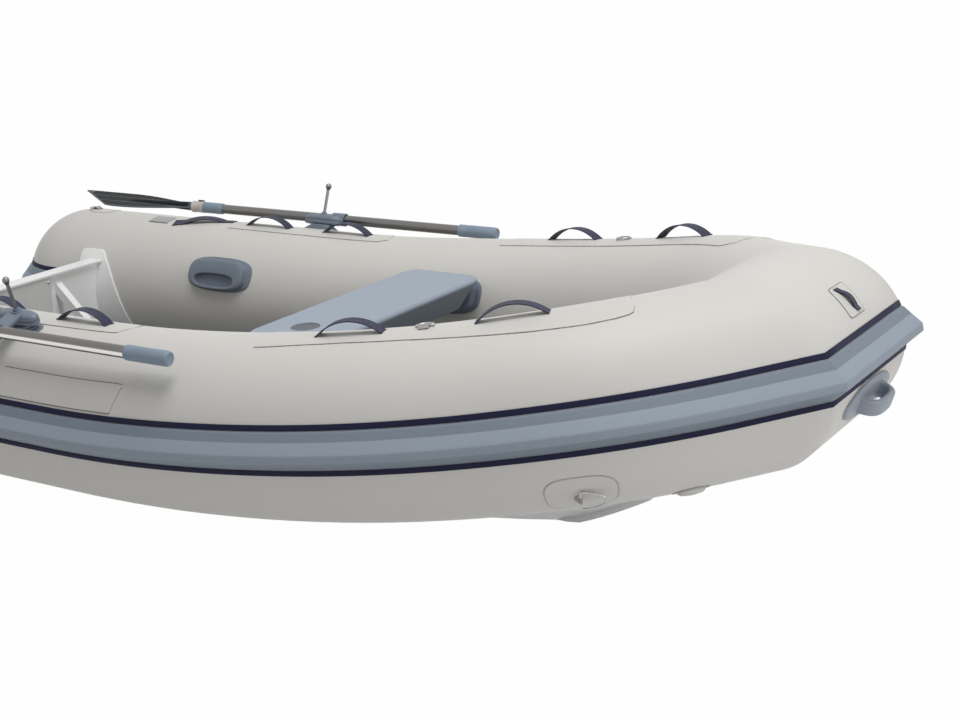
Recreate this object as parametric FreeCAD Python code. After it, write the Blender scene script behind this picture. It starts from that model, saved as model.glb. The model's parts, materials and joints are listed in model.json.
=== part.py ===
import FreeCAD, Part
import math
import os
from FreeCAD import Vector, Placement, Rotation

# Rigid inflatable tender: an aluminium V hull in a fabric collar, with a
# thwart, webbing grab handles and a pair of oars stowed on the side tubes.
# Millimetres. X forward, Y to port, Z up, origin amidships on the waterline.
# The starboard half is modelled, and the port half is its mirror image.

# Collar
tube_radius = 215.0
side_axis_y = 600.0
axis_height = 305.0
dome_centre_x = -1270.0
bend_start_x = -250.0
bow_axis_x = 1242.0
bow_rise = 174.0
corner_half_width = 171.0
mitre_run = 100.0
bow_angle = 46.0
bow_slope_share = 0.13
section_tilt = 9.8
seat_gap = 0.3
overrun = 60.0
# Places of the curved axis, as shares of the bent length, inset and rise.
bend_x_shares = (0.0, 0.270, 0.504, 0.703, 0.860)
bend_y_shares = (0.0, 0.000, 0.093, 0.277, 0.520)
bend_z_shares = (0.0, 0.103, 0.299, 0.552, 0.800)

# Rub rail and its two stripes
rail_top_half = 46.0
rail_low_half = 42.0
rail_nose_out = 34.0
rail_nose_top = 20.0
rail_nose_low = 14.0
rail_lip_out = 9.0
stripe_height = 13.5
stripe_thickness = 2.0

# Hull, deck and transom
keel_depth = 390.0
deck_angle = 51.0
chine_angle = 57.4
hull_clearance = 5.5
keel_strip_width = 36.0
keel_strip_depth = 9.0
deck_plate = 4.0
deck_clearance = 1.5
transom_x = -1080.0
transom_thickness = 42.0
transom_top = 100.0
brace_side = 26.0
brace_foot_run = 260.0
brace_y = 190.0
pad_width = 330.0
pad_height = 190.0
pad_thickness = 8.0
gusset_run = 150.0
gusset_thickness = 5.0
cap_overhang = 12.0
cap_thickness = 6.0

# Thwart and its moulded mounts
seat_centre_x = 188.0
seat_width = 236.0
seat_depth = 62.0
seat_top = 182.0
seat_wall = 4.0
seat_edge_round = 14.0
seat_lap = 12.0
seat_end_block = 42.0
seat_dish_length = 84.0
seat_dish_width = 56.0
seat_dish_depth = 2.0
seat_dish_x = 206.0
seat_dish_y = -251.0
mount_length = 234.0
mount_thickness = 27.0
mount_low_angle = 138.0
mount_high_angle = 166.0
aft_mount_x = -595.0
fore_mount_x = 215.0
recess_length = 150.0
recess_depth = 17.0

# Webbing grab handles
strap_width = 27.0
strap_thickness = 3.0
handle_span = 148.0
handle_rise = 38.0
handle_foot = 10.0
handle_xs = (-543.0, -258.0, 520.0, 878.0)
handle_angles = (90.0, 90.0, 86.0, 86.0)
handle_lift_shares = (0.0, 0.5, 0.4, 0.5)

# Oars and oarlocks
pin_x = -400.0
pin_angle = 70.0
base_length = 104.0
base_width = 62.0
base_thickness = 7.0
boss_radius = 17.0
boss_height = 18.0
pin_radius = 4.5
ball_radius = 8.0
ball_height = 138.0
swivel_length = 146.0
swivel_height = 30.0
swivel_width = 40.0
oar_height = 50.0
oar_offset = 94.0
shaft_radius = 15.0
clip_wall = 5.0
clip_length = 46.0
running_gap = 0.6
grip_radius = 18.5
grip_length = 142.0
grip_end_x = 150.0
blade_tip_x = -1500.0
blade_root_x = -965.0
blade_width = 134.0
blade_thickness = 6.0
collar_length = 50.0
collar_radius = 19.0
ferrule_length = 44.0
ferrule_radius = 18.0

# Patches, plates and rings
patch_thickness = 1.2
patch_tip = 6.0
aft_patch_start = -670.0
aft_patch_end = -105.0
aft_patch_low_angle = 74.0
aft_patch_high_angle = 103.5
fore_patch_start = 300.0
fore_patch_end = 1100.0
fore_patch_low_angle = 66.0
fore_patch_high_angle = 101.0
patch_taper = 60.0
plate_start_x = -372.0
plate_slant_x = -12.0
plate_end_x = 14.0
plate_margin = 5.0
plate_height = 76.0
ring_wire = 2.5
ring_width = 40.0
ring_depth = 30.0
top_ring_x = 690.0
top_ring_angle = 87.0
stern_ring_x = -1262.0
stern_ring_angle = 86.0
low_ring_x = 968.0
low_ring_angle = -44.0
low_patch_x = 953.0
low_patch_length = 115.0
low_patch_low_angle = -60.0
low_patch_high_angle = -28.0
stern_patch_x = -1222.0
stern_patch_length = 92.0
stern_patch_low_angle = 76.0
stern_patch_high_angle = 97.0

# Keeper straps
keeper_x = -774.0
keeper_span = 170.0
keeper_rise = 20.0
keeper_foot = 14.0
keeper_angle = 97.0
keeper_pad_x = -975.0
keeper_pad_length = 74.0
keeper_pad_low_angle = 90.0
keeper_pad_high_angle = 100.0

# Bow handle, bow strap and towing pads
handle_angle = -16.5
handle_width = 156.0
handle_out = 50.0
handle_bar = 16.0
handle_tall = 36.0
handle_plate = 6.0
handle_plate_width = 276.0
handle_plate_tall = 74.0
bow_patch_width = 288.0
bow_patch_tall = 80.0
strap_angle = 43.0
strap_patch_width = 96.0
strap_patch_tall = 80.0
strap_patch_round = 8.0
loop_span = 40.0
loop_rise = 14.0
loop_width = 26.0
loop_foot = 8.0
pad_x = 1115.0
pad_angle = -68.0
pad_round = 24.0
pad_rise = 11.0

doc = FreeCAD.newDocument("tender")
sheet = doc.addObject("Spreadsheet::Sheet", "sizes")
sheet_sizes = {
    "tube_radius": tube_radius,
    "keel_strip_width": keel_strip_width,
    "pin_radius": pin_radius,
    "ball_radius": ball_radius,
    "shaft_radius": shaft_radius,
    "grip_radius": grip_radius,
    "grip_length": grip_length,
}
for row, (alias, size) in enumerate(sheet_sizes.items(), start=1):
    cell = "A" + str(row)
    sheet.set(cell, str(size))
    sheet.setAlias(cell, alias)
doc.recompute()

origin = Vector(0, 0, 0)
up = Vector(0, 0, 1)
ahead = Vector(1, 0, 0)


def unit(v):
    out = Vector(v)
    out.normalize()
    return out


def mirrored(shape):
    return shape.mirror(origin, Vector(0, 1, 0))


def add(name, shape, wanted=0):
    """One named piece of the model from a finished shape."""
    if not shape.isValid():
        print("INVALID", name)
    if wanted and len(shape.Solids) != wanted:
        print("SOLIDS", name, len(shape.Solids))
    feature = doc.addObject("Part::Feature", name)
    feature.Label = name
    feature.Shape = shape
    return feature


# The bow sections are rolled up with the sheer, so the rail climbs at the stem.
section_up = Vector(-math.sin(math.radians(section_tilt)), 0, math.cos(math.radians(section_tilt)))
bow_out = Vector(math.cos(math.radians(section_tilt)), 0, math.sin(math.radians(section_tilt)))
bow_up = section_up

# The axis of the starboard tube: straight aft, then bent in and up to the bow.
bow_corner = Vector(bow_axis_x, -corner_half_width, axis_height + bow_rise)
end_heading = math.radians(bow_angle)
end_tangent = unit(Vector(math.cos(end_heading), math.sin(end_heading), bow_slope_share))
bend_length = bow_axis_x - bend_start_x
inset = side_axis_y - corner_half_width
bend_points = [
    Vector(bend_start_x + sx * bend_length, -side_axis_y + sy * inset, axis_height + sz * bow_rise)
    for sx, sy, sz in zip(bend_x_shares, bend_y_shares, bend_z_shares)
]
bend_points.append(bow_corner - end_tangent * mitre_run)
bend = Part.BSplineCurve()
bend.interpolate(Points=bend_points, InitialTangent=ahead, FinalTangent=end_tangent)
mitre_normal = unit(end_tangent + Vector(0, 1, 0))


def frame_at(x):
    """Point, tangent, outward and upward directions of the starboard axis at x."""
    if x <= bend_start_x:
        point = Vector(x, -side_axis_y, axis_height)
        tangent = ahead
    elif x >= bend_points[-1].x:
        reach = (x - bend_points[-1].x) / end_tangent.x
        point = bend_points[-1] + end_tangent * reach
        tangent = end_tangent
    else:
        low = bend.FirstParameter
        high = bend.LastParameter
        for _ in range(50):
            middle = (low + high) / 2
            if bend.value(middle).x < x:
                low = middle
            else:
                high = middle
        point = bend.value(low)
        tangent = unit(bend.tangent(low)[0])
    outward = unit(tangent.cross(section_up))
    upward = outward.cross(tangent)
    return point, tangent, outward, upward


def on_tube(x, angle, radius):
    point, tangent, outward, upward = frame_at(x)
    a = math.radians(angle)
    return point + outward * (radius * math.cos(a)) + upward * (radius * math.sin(a))


def local(x, angle, lift):
    """Placement whose Z leaves the tube at the angle and whose X runs forward."""
    point, tangent, outward, upward = frame_at(x)
    a = math.radians(angle)
    away = outward * math.cos(a) + upward * math.sin(a)
    side = away.cross(tangent)
    turn = Rotation(tangent, side, away, "ZXY")
    return Placement(point + away * (tube_radius + lift), turn)


def circle_at(x, radius):
    point, tangent, outward, upward = frame_at(x)
    return Part.Wire([Part.Circle(point, tangent, radius).toShape()])


def section_at(x, outline):
    """A closed outline of (outward, upward) places on the tube's section at x."""
    point, tangent, outward, upward = frame_at(x)
    places = [point + outward * u + upward * v for u, v in outline]
    return Part.makePolygon(places + places[:1])


def fore_cut():
    """The half space forward of the mitre plane, as a large box."""
    size = (tube_radius + overrun) * 4
    box = Part.makeBox(size, size, size, Vector(-size / 2, -size / 2, 0))
    box.Placement = Placement(bow_corner, Rotation(up, mitre_normal))
    return box


bend_end_x = bend_points[-1].x
bend_parts = 14
bend_range = bend.LastParameter - bend.FirstParameter
bend_inner = [bend.value(bend.FirstParameter + bend_range * k / bend_parts).x for k in range(1, bend_parts)]
bend_stations = [bend_start_x] + bend_inner + [bend_end_x]
far_x = bow_axis_x + (tube_radius + overrun) * end_tangent.x
mitre_box = fore_cut()


def swept(outline):
    """An outline carried along the starboard tube, from the dome to the mitre."""
    straight = Part.makeLoft([section_at(dome_centre_x, outline), section_at(bend_start_x, outline)], True, True)
    curved = Part.makeLoft([section_at(x, outline) for x in bend_stations], True, False)
    fore = Part.makeLoft([section_at(bend_end_x, outline), section_at(far_x, outline)], True, True)
    whole = straight.fuse([curved, fore]).removeSplitter()
    return whole.cut(mitre_box)


def bow_run(outline):
    """The same outline along the transverse bow tube, between the two mitres."""
    reach = corner_half_width + tube_radius + overrun
    start = Vector(bow_axis_x, -reach, axis_height + bow_rise)
    places = [start + bow_out * u + bow_up * v for u, v in outline]
    face = Part.Face(Part.makePolygon(places + places[:1]))
    bar = face.extrude(Vector(0, reach * 2, 0))
    keep = bar.common(mitre_box)
    return keep.common(mirrored(mitre_box))


def dome_run(outline, sweep_angle, inner_end_x):
    """The outline turned round the stern dome and run forward inside to the transom."""
    centre = Vector(dome_centre_x, -side_axis_y, axis_height)
    places = [centre + Vector(0, -u, v) for u, v in outline]
    face = Part.Face(Part.makePolygon(places + places[:1]))
    turn = face.revolve(centre, up, -sweep_angle)
    inner = [centre + Vector(0, u, v) for u, v in outline]
    inner_face = Part.Face(Part.makePolygon(inner + inner[:1]))
    run = inner_face.extrude(Vector(inner_end_x - dome_centre_x, 0, 0))
    return turn.fuse(run).removeSplitter()


# Collar tubes
fore_length = (far_x - bend_end_x) / end_tangent.x


def side_bar(radius):
    """A round bar on the starboard axis, from the dome's centre to past the bow corner."""
    aft_bar = Part.makeCylinder(
        radius, bend_start_x - dome_centre_x, Vector(dome_centre_x, -side_axis_y, axis_height), ahead
    )
    bent_bar = Part.makeLoft([circle_at(x, radius) for x in bend_stations], True, False)
    fore_bar = Part.makeCylinder(radius, fore_length, bend_points[-1], end_tangent)
    return aft_bar.fuse([bent_bar, fore_bar]).removeSplitter()


dome = Part.makeSphere(tube_radius, Vector(dome_centre_x, -side_axis_y, axis_height))
side_tube = side_bar(tube_radius).fuse(dome).removeSplitter().cut(mitre_box)
add("tube_starboard", side_tube, 1)
add("tube_port", mirrored(side_tube), 1)
bow_reach = corner_half_width + tube_radius + overrun


def bow_bar(radius):
    """A round bar on the axis of the transverse bow tube, longer than the tube."""
    start = Vector(bow_axis_x, -bow_reach, axis_height + bow_rise)
    return Part.makeCylinder(radius, bow_reach * 2, start, Vector(0, 1, 0))


bow_tube = bow_bar(tube_radius).common(mitre_box).common(mirrored(mitre_box))
add("tube_bow", bow_tube, 1)

# Rub rail: a lipped section with a flat nose
skin = tube_radius + seat_gap
skin_bar = side_bar(skin)
rail_bed = 1.0


def chord(v):
    return math.sqrt(skin * skin - v * v)


rail_outline = [
    (chord(rail_top_half) + rail_bed, rail_top_half),
    (chord(rail_top_half) + rail_bed + rail_lip_out, rail_top_half - rail_lip_out / 2),
    (tube_radius + rail_nose_out, rail_nose_top),
    (tube_radius + rail_nose_out, -rail_nose_low),
    (chord(rail_low_half) + rail_lip_out, -rail_low_half + rail_lip_out / 2),
    (chord(rail_low_half) + rail_bed, -rail_low_half),
    (chord(rail_low_half / 2) + rail_bed, -rail_low_half / 2),
    (skin + rail_bed, 0),
    (chord(rail_top_half / 2) + rail_bed, rail_top_half / 2),
]
inner_run_end = transom_x - transom_thickness - seat_gap * 3
rail = swept(rail_outline).fuse(dome_run(rail_outline, 180, inner_run_end)).removeSplitter()
add("rub_rail_starboard", rail, 1)
add("rub_rail_port", mirrored(rail), 1)
add("rub_rail_bow", bow_run(rail_outline), 1)


def band(low, high, thickness):
    """Outline of a thin band on the tube between two heights."""
    inner = skin + seat_gap
    outer = inner + thickness
    return [
        (math.sqrt(inner * inner - low * low), low),
        (math.sqrt(outer * outer - low * low), low),
        (math.sqrt(outer * outer - high * high), high),
        (math.sqrt(inner * inner - high * high), high),
    ]


upper_band = band(rail_top_half + seat_gap, rail_top_half + stripe_height, stripe_thickness)
lower_band = band(-rail_low_half - stripe_height, -rail_low_half - seat_gap, stripe_thickness)
stripes = Part.makeCompound([
    swept(upper_band).fuse(dome_run(upper_band, 180, inner_run_end)).removeSplitter(),
    swept(lower_band).fuse(dome_run(lower_band, 180, inner_run_end)).removeSplitter(),
])
add("stripes_starboard", stripes, 2)
add("stripes_port", mirrored(stripes), 2)
add("stripes_bow", Part.makeCompound([bow_run(upper_band), bow_run(lower_band)]), 2)

# Aluminium V hull: sections from the transom to the stem
hull_x_shares = (0.0, 0.30, 0.50, 0.654, 0.771, 0.867, 0.925, 0.967, 1.0)
keel_shares = (1.0, 1.0, 1.05, 1.13, 1.12, 0.97, 0.79, 0.50, 0.12)
hull_reach = tube_radius + hull_clearance
chine_inset = hull_reach * math.cos(math.radians(chine_angle))
chine_drop = hull_reach * math.sin(math.radians(chine_angle))
deck_inset = hull_reach * math.cos(math.radians(deck_angle))
deck_drop = hull_reach * math.sin(math.radians(deck_angle))
hull_end_x = bow_axis_x - chine_inset
hull_length = hull_end_x - transom_x
keel_fall = keel_depth - chine_drop


def inside_at(x, reach, drop):
    """Place at x on a line that follows the axis, inboard of it and below it."""
    low = x - reach - overrun
    high = x + reach + overrun
    for _ in range(40):
        middle = (low + high) / 2
        point, tangent, outward, upward = frame_at(middle)
        inboard = unit(Vector(-outward.x, -outward.y, 0))
        if (point + inboard * reach).x < x:
            low = middle
        else:
            high = middle
    place = point + inboard * reach
    climb = math.hypot(tangent.x, tangent.y)
    return Vector(x, min(place.y, -seat_gap), place.z - drop / climb)


def across(place):
    return Vector(place.x, -place.y, place.z)


def hull_section(x, keel_share):
    chine = inside_at(x, chine_inset, chine_drop)
    edge = inside_at(x, deck_inset, deck_drop)
    keel = Vector(x, 0, chine.z - keel_fall * keel_share)
    return Part.makePolygon([keel, chine, edge, across(edge), across(chine), keel])


def keel_share_at(share):
    """Smooth reading of the keel table at a share of the hull's length."""
    k = 1
    while k < len(hull_x_shares) - 1 and hull_x_shares[k] < share:
        k += 1
    a, b = hull_x_shares[k - 1], hull_x_shares[k]
    left = max(k - 2, 0)
    right = min(k + 1, len(hull_x_shares) - 1)
    t = (share - a) / (b - a)
    start, end = keel_shares[k - 1], keel_shares[k]
    slope_a = (end - keel_shares[left]) / (b - hull_x_shares[left]) * (b - a)
    slope_b = (keel_shares[right] - start) / (hull_x_shares[right] - a) * (b - a)
    squared = t * t
    cubed = squared * t
    return (
        start * (2 * cubed - 3 * squared + 1) + slope_a * (cubed - 2 * squared + t)
        + end * (3 * squared - 2 * cubed) + slope_b * (cubed - squared)
    )


hull_steps = 14
hull_parts = [k / hull_steps for k in range(hull_steps + 1)]
hull_stations = [transom_x + share * hull_length for share in hull_parts]
hull_keels = [keel_share_at(share) for share in hull_parts]
hull = Part.makeLoft([hull_section(x, share) for x, share in zip(hull_stations, hull_keels)], True, False)
hull = hull.cut(skin_bar).cut(mirrored(skin_bar)).cut(bow_bar(skin))
add("hull_bottom", hull, 1)


def keel_section(x, keel_share):
    chine = inside_at(x, chine_inset, chine_drop)
    keel_z = chine.z - keel_fall * keel_share
    half = keel_strip_width / 2
    rise = half * keel_fall * keel_share / -chine.y
    low = keel_z - keel_strip_depth
    top = keel_z + rise + keel_strip_depth
    return Part.makePolygon([
        Vector(x, -half, top),
        Vector(x, -half, low + rise),
        Vector(x, -half / 2, low),
        Vector(x, half / 2, low),
        Vector(x, half, low + rise),
        Vector(x, half, top),
        Vector(x, -half, top),
    ])


strip = Part.makeLoft(
    [keel_section(x, share) for x, share in zip(hull_stations[:-1], hull_keels[:-1])], True, False
)
below_hull = hull.copy()
below_hull.translate(Vector(0, 0, -seat_gap))
strip = strip.cut(below_hull)
strip = max(strip.Solids, key=lambda solid: -solid.CenterOfMass.z)
add("keel_strip", strip, 1)


def deck_section(x):
    edge = inside_at(x, deck_inset + deck_plate + deck_clearance, deck_drop + deck_plate)
    rim = edge + up * deck_plate * 2
    return Part.makePolygon([edge, rim, across(rim), across(edge), edge])


deck = Part.makeLoft([deck_section(x) for x in hull_stations[:-1]], True, False)
above_hull = hull.copy()
above_hull.translate(Vector(0, 0, seat_gap))
deck = deck.cut(above_hull)
deck = max(deck.Solids, key=lambda solid: solid.CenterOfMass.z)
add("deck_plate", deck, 1)

# Transom between the tubes, raked, with its pads, braces and corner plates
tube_room = Part.makeCylinder(
    skin + gusset_thickness + seat_gap, bend_start_x - dome_centre_x,
    Vector(dome_centre_x, -side_axis_y, axis_height), ahead
)
tube_rooms = tube_room.fuse(mirrored(tube_room))
transom_edge_y = side_axis_y - chine_inset
top_edge_y = side_axis_y - math.sqrt(tube_radius ** 2 - transom_top ** 2) + transom_thickness / 2
transom_half = [
    (-transom_edge_y, -chine_drop),
    (-transom_edge_y, 0),
    (-top_edge_y, transom_top),
    (top_edge_y, transom_top),
    (transom_edge_y, 0),
    (transom_edge_y, -chine_drop),
    (0, -keel_depth),
]
back_x = transom_x - transom_thickness - seat_gap
transom_places = [Vector(back_x, y, axis_height + z) for y, z in transom_half]
transom = Part.Face(Part.makePolygon(transom_places + transom_places[:1])).extrude(Vector(transom_thickness, 0, 0))
cap_low = axis_height + transom_top - cap_thickness
cap = Part.makeBox(transom_thickness + cap_overhang, top_edge_y * 2, cap_thickness, Vector(back_x, -top_edge_y, cap_low))
transom = transom.fuse(cap).removeSplitter().cut(tube_rooms)
add("transom", transom, 1)
pad_base_z = cap_low - seat_gap - pad_height
pad_front = Part.makeBox(pad_thickness, pad_width, pad_height, Vector(transom_x, -pad_width / 2, pad_base_z))
pad_back_x = back_x - pad_thickness - seat_gap
pad_back = Part.makeBox(pad_thickness, pad_width, pad_height, Vector(pad_back_x, -pad_width / 2, pad_base_z))
add("motor_pad_front", pad_front, 1)
add("motor_pad_back", pad_back, 1)
deck_top_z = axis_height - deck_drop + deck_plate + seat_gap
brace_top_z = cap_low - seat_gap - brace_side


def brace(y):
    places = [
        Vector(transom_x, y, brace_top_z),
        Vector(transom_x, y, brace_top_z - brace_side * 1.4),
        Vector(transom_x + brace_foot_run - brace_side * 1.4, y, deck_top_z + seat_gap),
        Vector(transom_x + brace_foot_run, y, deck_top_z + seat_gap),
    ]
    return Part.Face(Part.makePolygon(places + places[:1])).extrude(Vector(0, brace_side, 0))


add("transom_braces", Part.makeCompound([brace(brace_y), brace(-brace_y - brace_side)]), 2)


def placed(shape, place):
    out = shape.copy()
    out.Placement = place.multiply(out.Placement)
    return out


def bonded(boundary, centre_x, centre_angle, thickness, lift=0.0):
    """A sheet bonded on the tube, cut to a boundary of (x, angle) places seen along the normal."""
    place = local(centre_x, centre_angle, 0)
    inverse = place.inverse()
    depth = tube_radius * 0.8
    outline = []
    for x, angle in boundary:
        spot = inverse.multVec(on_tube(x, angle, skin + lift))
        outline.append(Vector(spot.x, spot.y, -depth))
    prism = Part.Face(Part.makePolygon(outline + outline[:1])).extrude(Vector(0, 0, depth + overrun))
    inner_bar = skin_bar if lift == 0 else side_bar(skin + lift)
    return placed(prism, place).common(side_bar(skin + lift + thickness)).cut(inner_bar)


def along(start, end, angle, parts):
    """Places at one angle from one x to another."""
    return [(start + (end - start) * k / parts, angle) for k in range(parts + 1)]


def rounded(centre, length, low, high, power=4.0, parts=40):
    """A closed outline with rounded corners, a superellipse in x and angle."""
    places = []
    for k in range(parts):
        t = math.pi * 2 * k / parts
        reach = (abs(math.cos(t)) ** power + abs(math.sin(t)) ** power) ** (-1 / power)
        places.append((centre + length / 2 * reach * math.cos(t),
                       (low + high) / 2 + (high - low) / 2 * reach * math.sin(t)))
    return places


# The corner plate laps aft over the transom's end and runs down behind it.
corner_x_shares = (-0.533, -0.533, -0.507, -0.453, -0.013, 0.053, 0.107, 0.173, 0.267, 0.40, 0.527, 0.64, 0.747, 0.86)
corner_edge_angles = (162.0, 147.0, 144.5, 143.4, 143.4, 144.8, 147.5, 151.5, 156.0, 165.0, 175.0, 186.0, 198.0, 216.0)
corner_foot_angle = 216.0
corner_edge = [
    (transom_x + share * gusset_run, angle) for share, angle in zip(corner_x_shares, corner_edge_angles)
]
corner_back_x = transom_x - transom_thickness
corner_foot = along(corner_edge[-1][0], corner_back_x, corner_foot_angle, 4)[1:]
corner_foot.append((corner_back_x, corner_edge_angles[0] + 1))
corner = bonded(corner_edge + corner_foot, transom_x + gusset_run / 6, 180.0, gusset_thickness)
add("corner_plate_starboard", corner, 1)
add("corner_plate_port", mirrored(corner), 1)


# Patches with tapered ends under the handles
def patch(start, end, low, high, parts=6):
    """A long patch whose ends taper to a rounded point on its inboard edge."""
    tip_low = low + (high - low) * 0.6
    middle_low = low + (high - low) * 0.1
    tip_high = high - math.degrees(patch_tip / skin)
    outline = [(start, tip_low), (start + patch_taper * 0.4, middle_low)]
    outline += along(start + patch_taper, end - patch_taper, low, parts)
    outline += [(end - patch_taper * 0.4, middle_low), (end, tip_low), (end, tip_high)]
    outline += along(end - patch_tip, start + patch_tip, high, parts)
    outline.append((start, tip_high))
    return bonded(outline, (start + end) / 2, (low + high) / 2, patch_thickness)


# The aft patch is cut out round the oarlock's oval foot.
pin_place = local(pin_x, pin_angle, 0)


def oval(length, width, low, high):
    """An upright oval prism in local coordinates."""
    curve = Part.Ellipse(origin, max(length, width) / 2, min(length, width) / 2)
    face = Part.Face(Part.Wire([curve.toShape()]))
    face.translate(Vector(0, 0, low))
    prism = face.extrude(Vector(0, 0, high - low))
    if width > length:
        prism.rotate(origin, up, 90)
    return prism


foot_room = placed(oval(base_length + seat_gap * 4, base_width + seat_gap * 4, -overrun, overrun), pin_place)
aft_patch = patch(aft_patch_start, aft_patch_end, aft_patch_low_angle, aft_patch_high_angle).cut(foot_room)
fore_patch = patch(fore_patch_start, fore_patch_end, fore_patch_low_angle, fore_patch_high_angle, 24)
patches = Part.makeCompound([aft_patch, fore_patch])
add("handle_patches_starboard", patches, 2)
add("handle_patches_port", mirrored(patches), 2)

# Blank plate on the outer side above the rail, with a slanted forward end
plate_low_angle = math.degrees(math.asin((rail_top_half + stripe_height + plate_margin) / skin))
plate_high_angle = plate_low_angle + math.degrees(plate_height / skin)
plate_corner_angle = math.degrees(plate_margin / 2 / skin)
plate_outline = along(plate_start_x, plate_slant_x, plate_low_angle, 8)
plate_outline.append((plate_end_x, plate_high_angle - plate_corner_angle))
plate_outline += along(plate_end_x - plate_margin, plate_start_x, plate_high_angle, 8)
plate = bonded(plate_outline, plate_start_x / 2, (plate_low_angle + plate_high_angle) / 2, patch_thickness)
add("name_plate_starboard", plate, 1)
add("name_plate_port", mirrored(plate), 1)


# Webbing grab handles: flat feet and an arched strap
def strap_handle(x, angle, span, rise, foot, base):
    half = span / 2
    radius = (half * half + rise * rise) / (2 * rise)
    centre_z = base + rise - radius
    inner = radius - strap_thickness

    def arc_at(r, z):
        return math.sqrt(max(r * r - (z - centre_z) ** 2, 0))

    low = base
    high = base + strap_thickness
    outline = Part.Wire([
        Part.LineSegment(Vector(-half - foot, 0, low), Vector(-arc_at(inner, low), 0, low)).toShape(),
        Part.Arc(Vector(-arc_at(inner, low), 0, low), Vector(0, 0, centre_z + inner),
                 Vector(arc_at(inner, low), 0, low)).toShape(),
        Part.LineSegment(Vector(arc_at(inner, low), 0, low), Vector(half + foot, 0, low)).toShape(),
        Part.LineSegment(Vector(half + foot, 0, low), Vector(half + foot, 0, high)).toShape(),
        Part.LineSegment(Vector(half + foot, 0, high), Vector(arc_at(radius, high), 0, high)).toShape(),
        Part.Arc(Vector(arc_at(radius, high), 0, high), Vector(0, 0, centre_z + radius),
                 Vector(-arc_at(radius, high), 0, high)).toShape(),
        Part.LineSegment(Vector(-arc_at(radius, high), 0, high), Vector(-half - foot, 0, high)).toShape(),
        Part.LineSegment(Vector(-half - foot, 0, high), Vector(-half - foot, 0, low)).toShape(),
    ])
    strap = Part.Face(outline).extrude(Vector(0, strap_width, 0))
    strap.translate(Vector(0, -strap_width / 2, 0))
    strap.Placement = local(x, angle, 0).multiply(strap.Placement)
    return strap


patch_top = seat_gap + patch_thickness + seat_gap
for number, (x, angle, lift) in enumerate(zip(handle_xs, handle_angles, handle_lift_shares), start=1):
    strap = strap_handle(x, angle, handle_span, handle_rise, handle_foot, patch_top + lift * strap_thickness)
    add("grab_handle_starboard_" + str(number), strap, 1)
    add("grab_handle_port_" + str(number), mirrored(strap), 1)

# Keeper straps for the stowed oars, each beside its pad
keeper = strap_handle(keeper_x, keeper_angle, keeper_span, keeper_rise, keeper_foot, seat_gap)
keeper_pad_end = keeper_pad_x + keeper_pad_length
keeper_pad = bonded([
    (keeper_pad_x, keeper_pad_low_angle), (keeper_pad_end, keeper_pad_low_angle),
    (keeper_pad_end, keeper_pad_high_angle), (keeper_pad_x, keeper_pad_high_angle),
], keeper_pad_x, keeper_angle, patch_thickness * 2)
keeper_set = Part.makeCompound([keeper, keeper_pad])
add("oar_keeper_starboard", keeper_set, 2)
add("oar_keeper_port", mirrored(keeper_set), 2)


# Moulded thwart mounts: thick rounded pads on the inner side, each with a pocket
def seat_mount(x):
    middle = (mount_low_angle + mount_high_angle) / 2
    outline = rounded(x, mount_length, mount_low_angle, mount_high_angle)
    body = bonded(outline, x, middle, mount_thickness)
    band_angle = mount_high_angle - mount_low_angle
    low = mount_low_angle + band_angle * 0.46
    high = mount_low_angle + band_angle * 0.86
    floor = mount_thickness - recess_depth
    pocket = bonded(rounded(x, recess_length, low, high), x, middle, recess_depth * 2, floor)
    return body.cut(pocket)


mounts = Part.makeCompound([seat_mount(fore_mount_x), seat_mount(aft_mount_x)])
add("seat_mounts_starboard", mounts, 2)
add("seat_mounts_port", mirrored(mounts), 2)

# Thwart: a pressed box, open below, hooked over the mounts at its ends
mount_skin = tube_radius + mount_thickness
seat_half = side_axis_y - math.sqrt(mount_skin ** 2 - (seat_top - seat_depth) ** 2) + seat_lap
seat_low = axis_height + seat_top - seat_depth
seat_back = seat_centre_x - seat_width / 2
outer_box = Part.makeBox(seat_width, seat_half * 2, seat_depth, Vector(seat_back, -seat_half, seat_low))
long_edges = [
    e for e in outer_box.Edges
    if abs(e.tangentAt(e.FirstParameter).y) > 0.9 and e.CenterOfMass.z > seat_low + seat_depth / 2
]
outer_box = outer_box.makeFillet(seat_edge_round, long_edges)
inner_box = Part.makeBox(
    seat_width - seat_wall * 2, (seat_half - seat_end_block) * 2, seat_depth - seat_wall,
    Vector(seat_back + seat_wall, -seat_half + seat_end_block, seat_low)
)
seat = outer_box.cut(inner_box)
seat_top_z = axis_height + seat_top
dish = oval(seat_dish_width, seat_dish_length, -seat_dish_depth, overrun)
dish.translate(Vector(seat_dish_x, seat_dish_y, seat_top_z))
seat = seat.cut(dish)
hook_room = side_bar(skin + mount_thickness + seat_gap)
seat = seat.cut(hook_room).cut(mirrored(hook_room))
add("seat_thwart", seat, 1)

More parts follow.
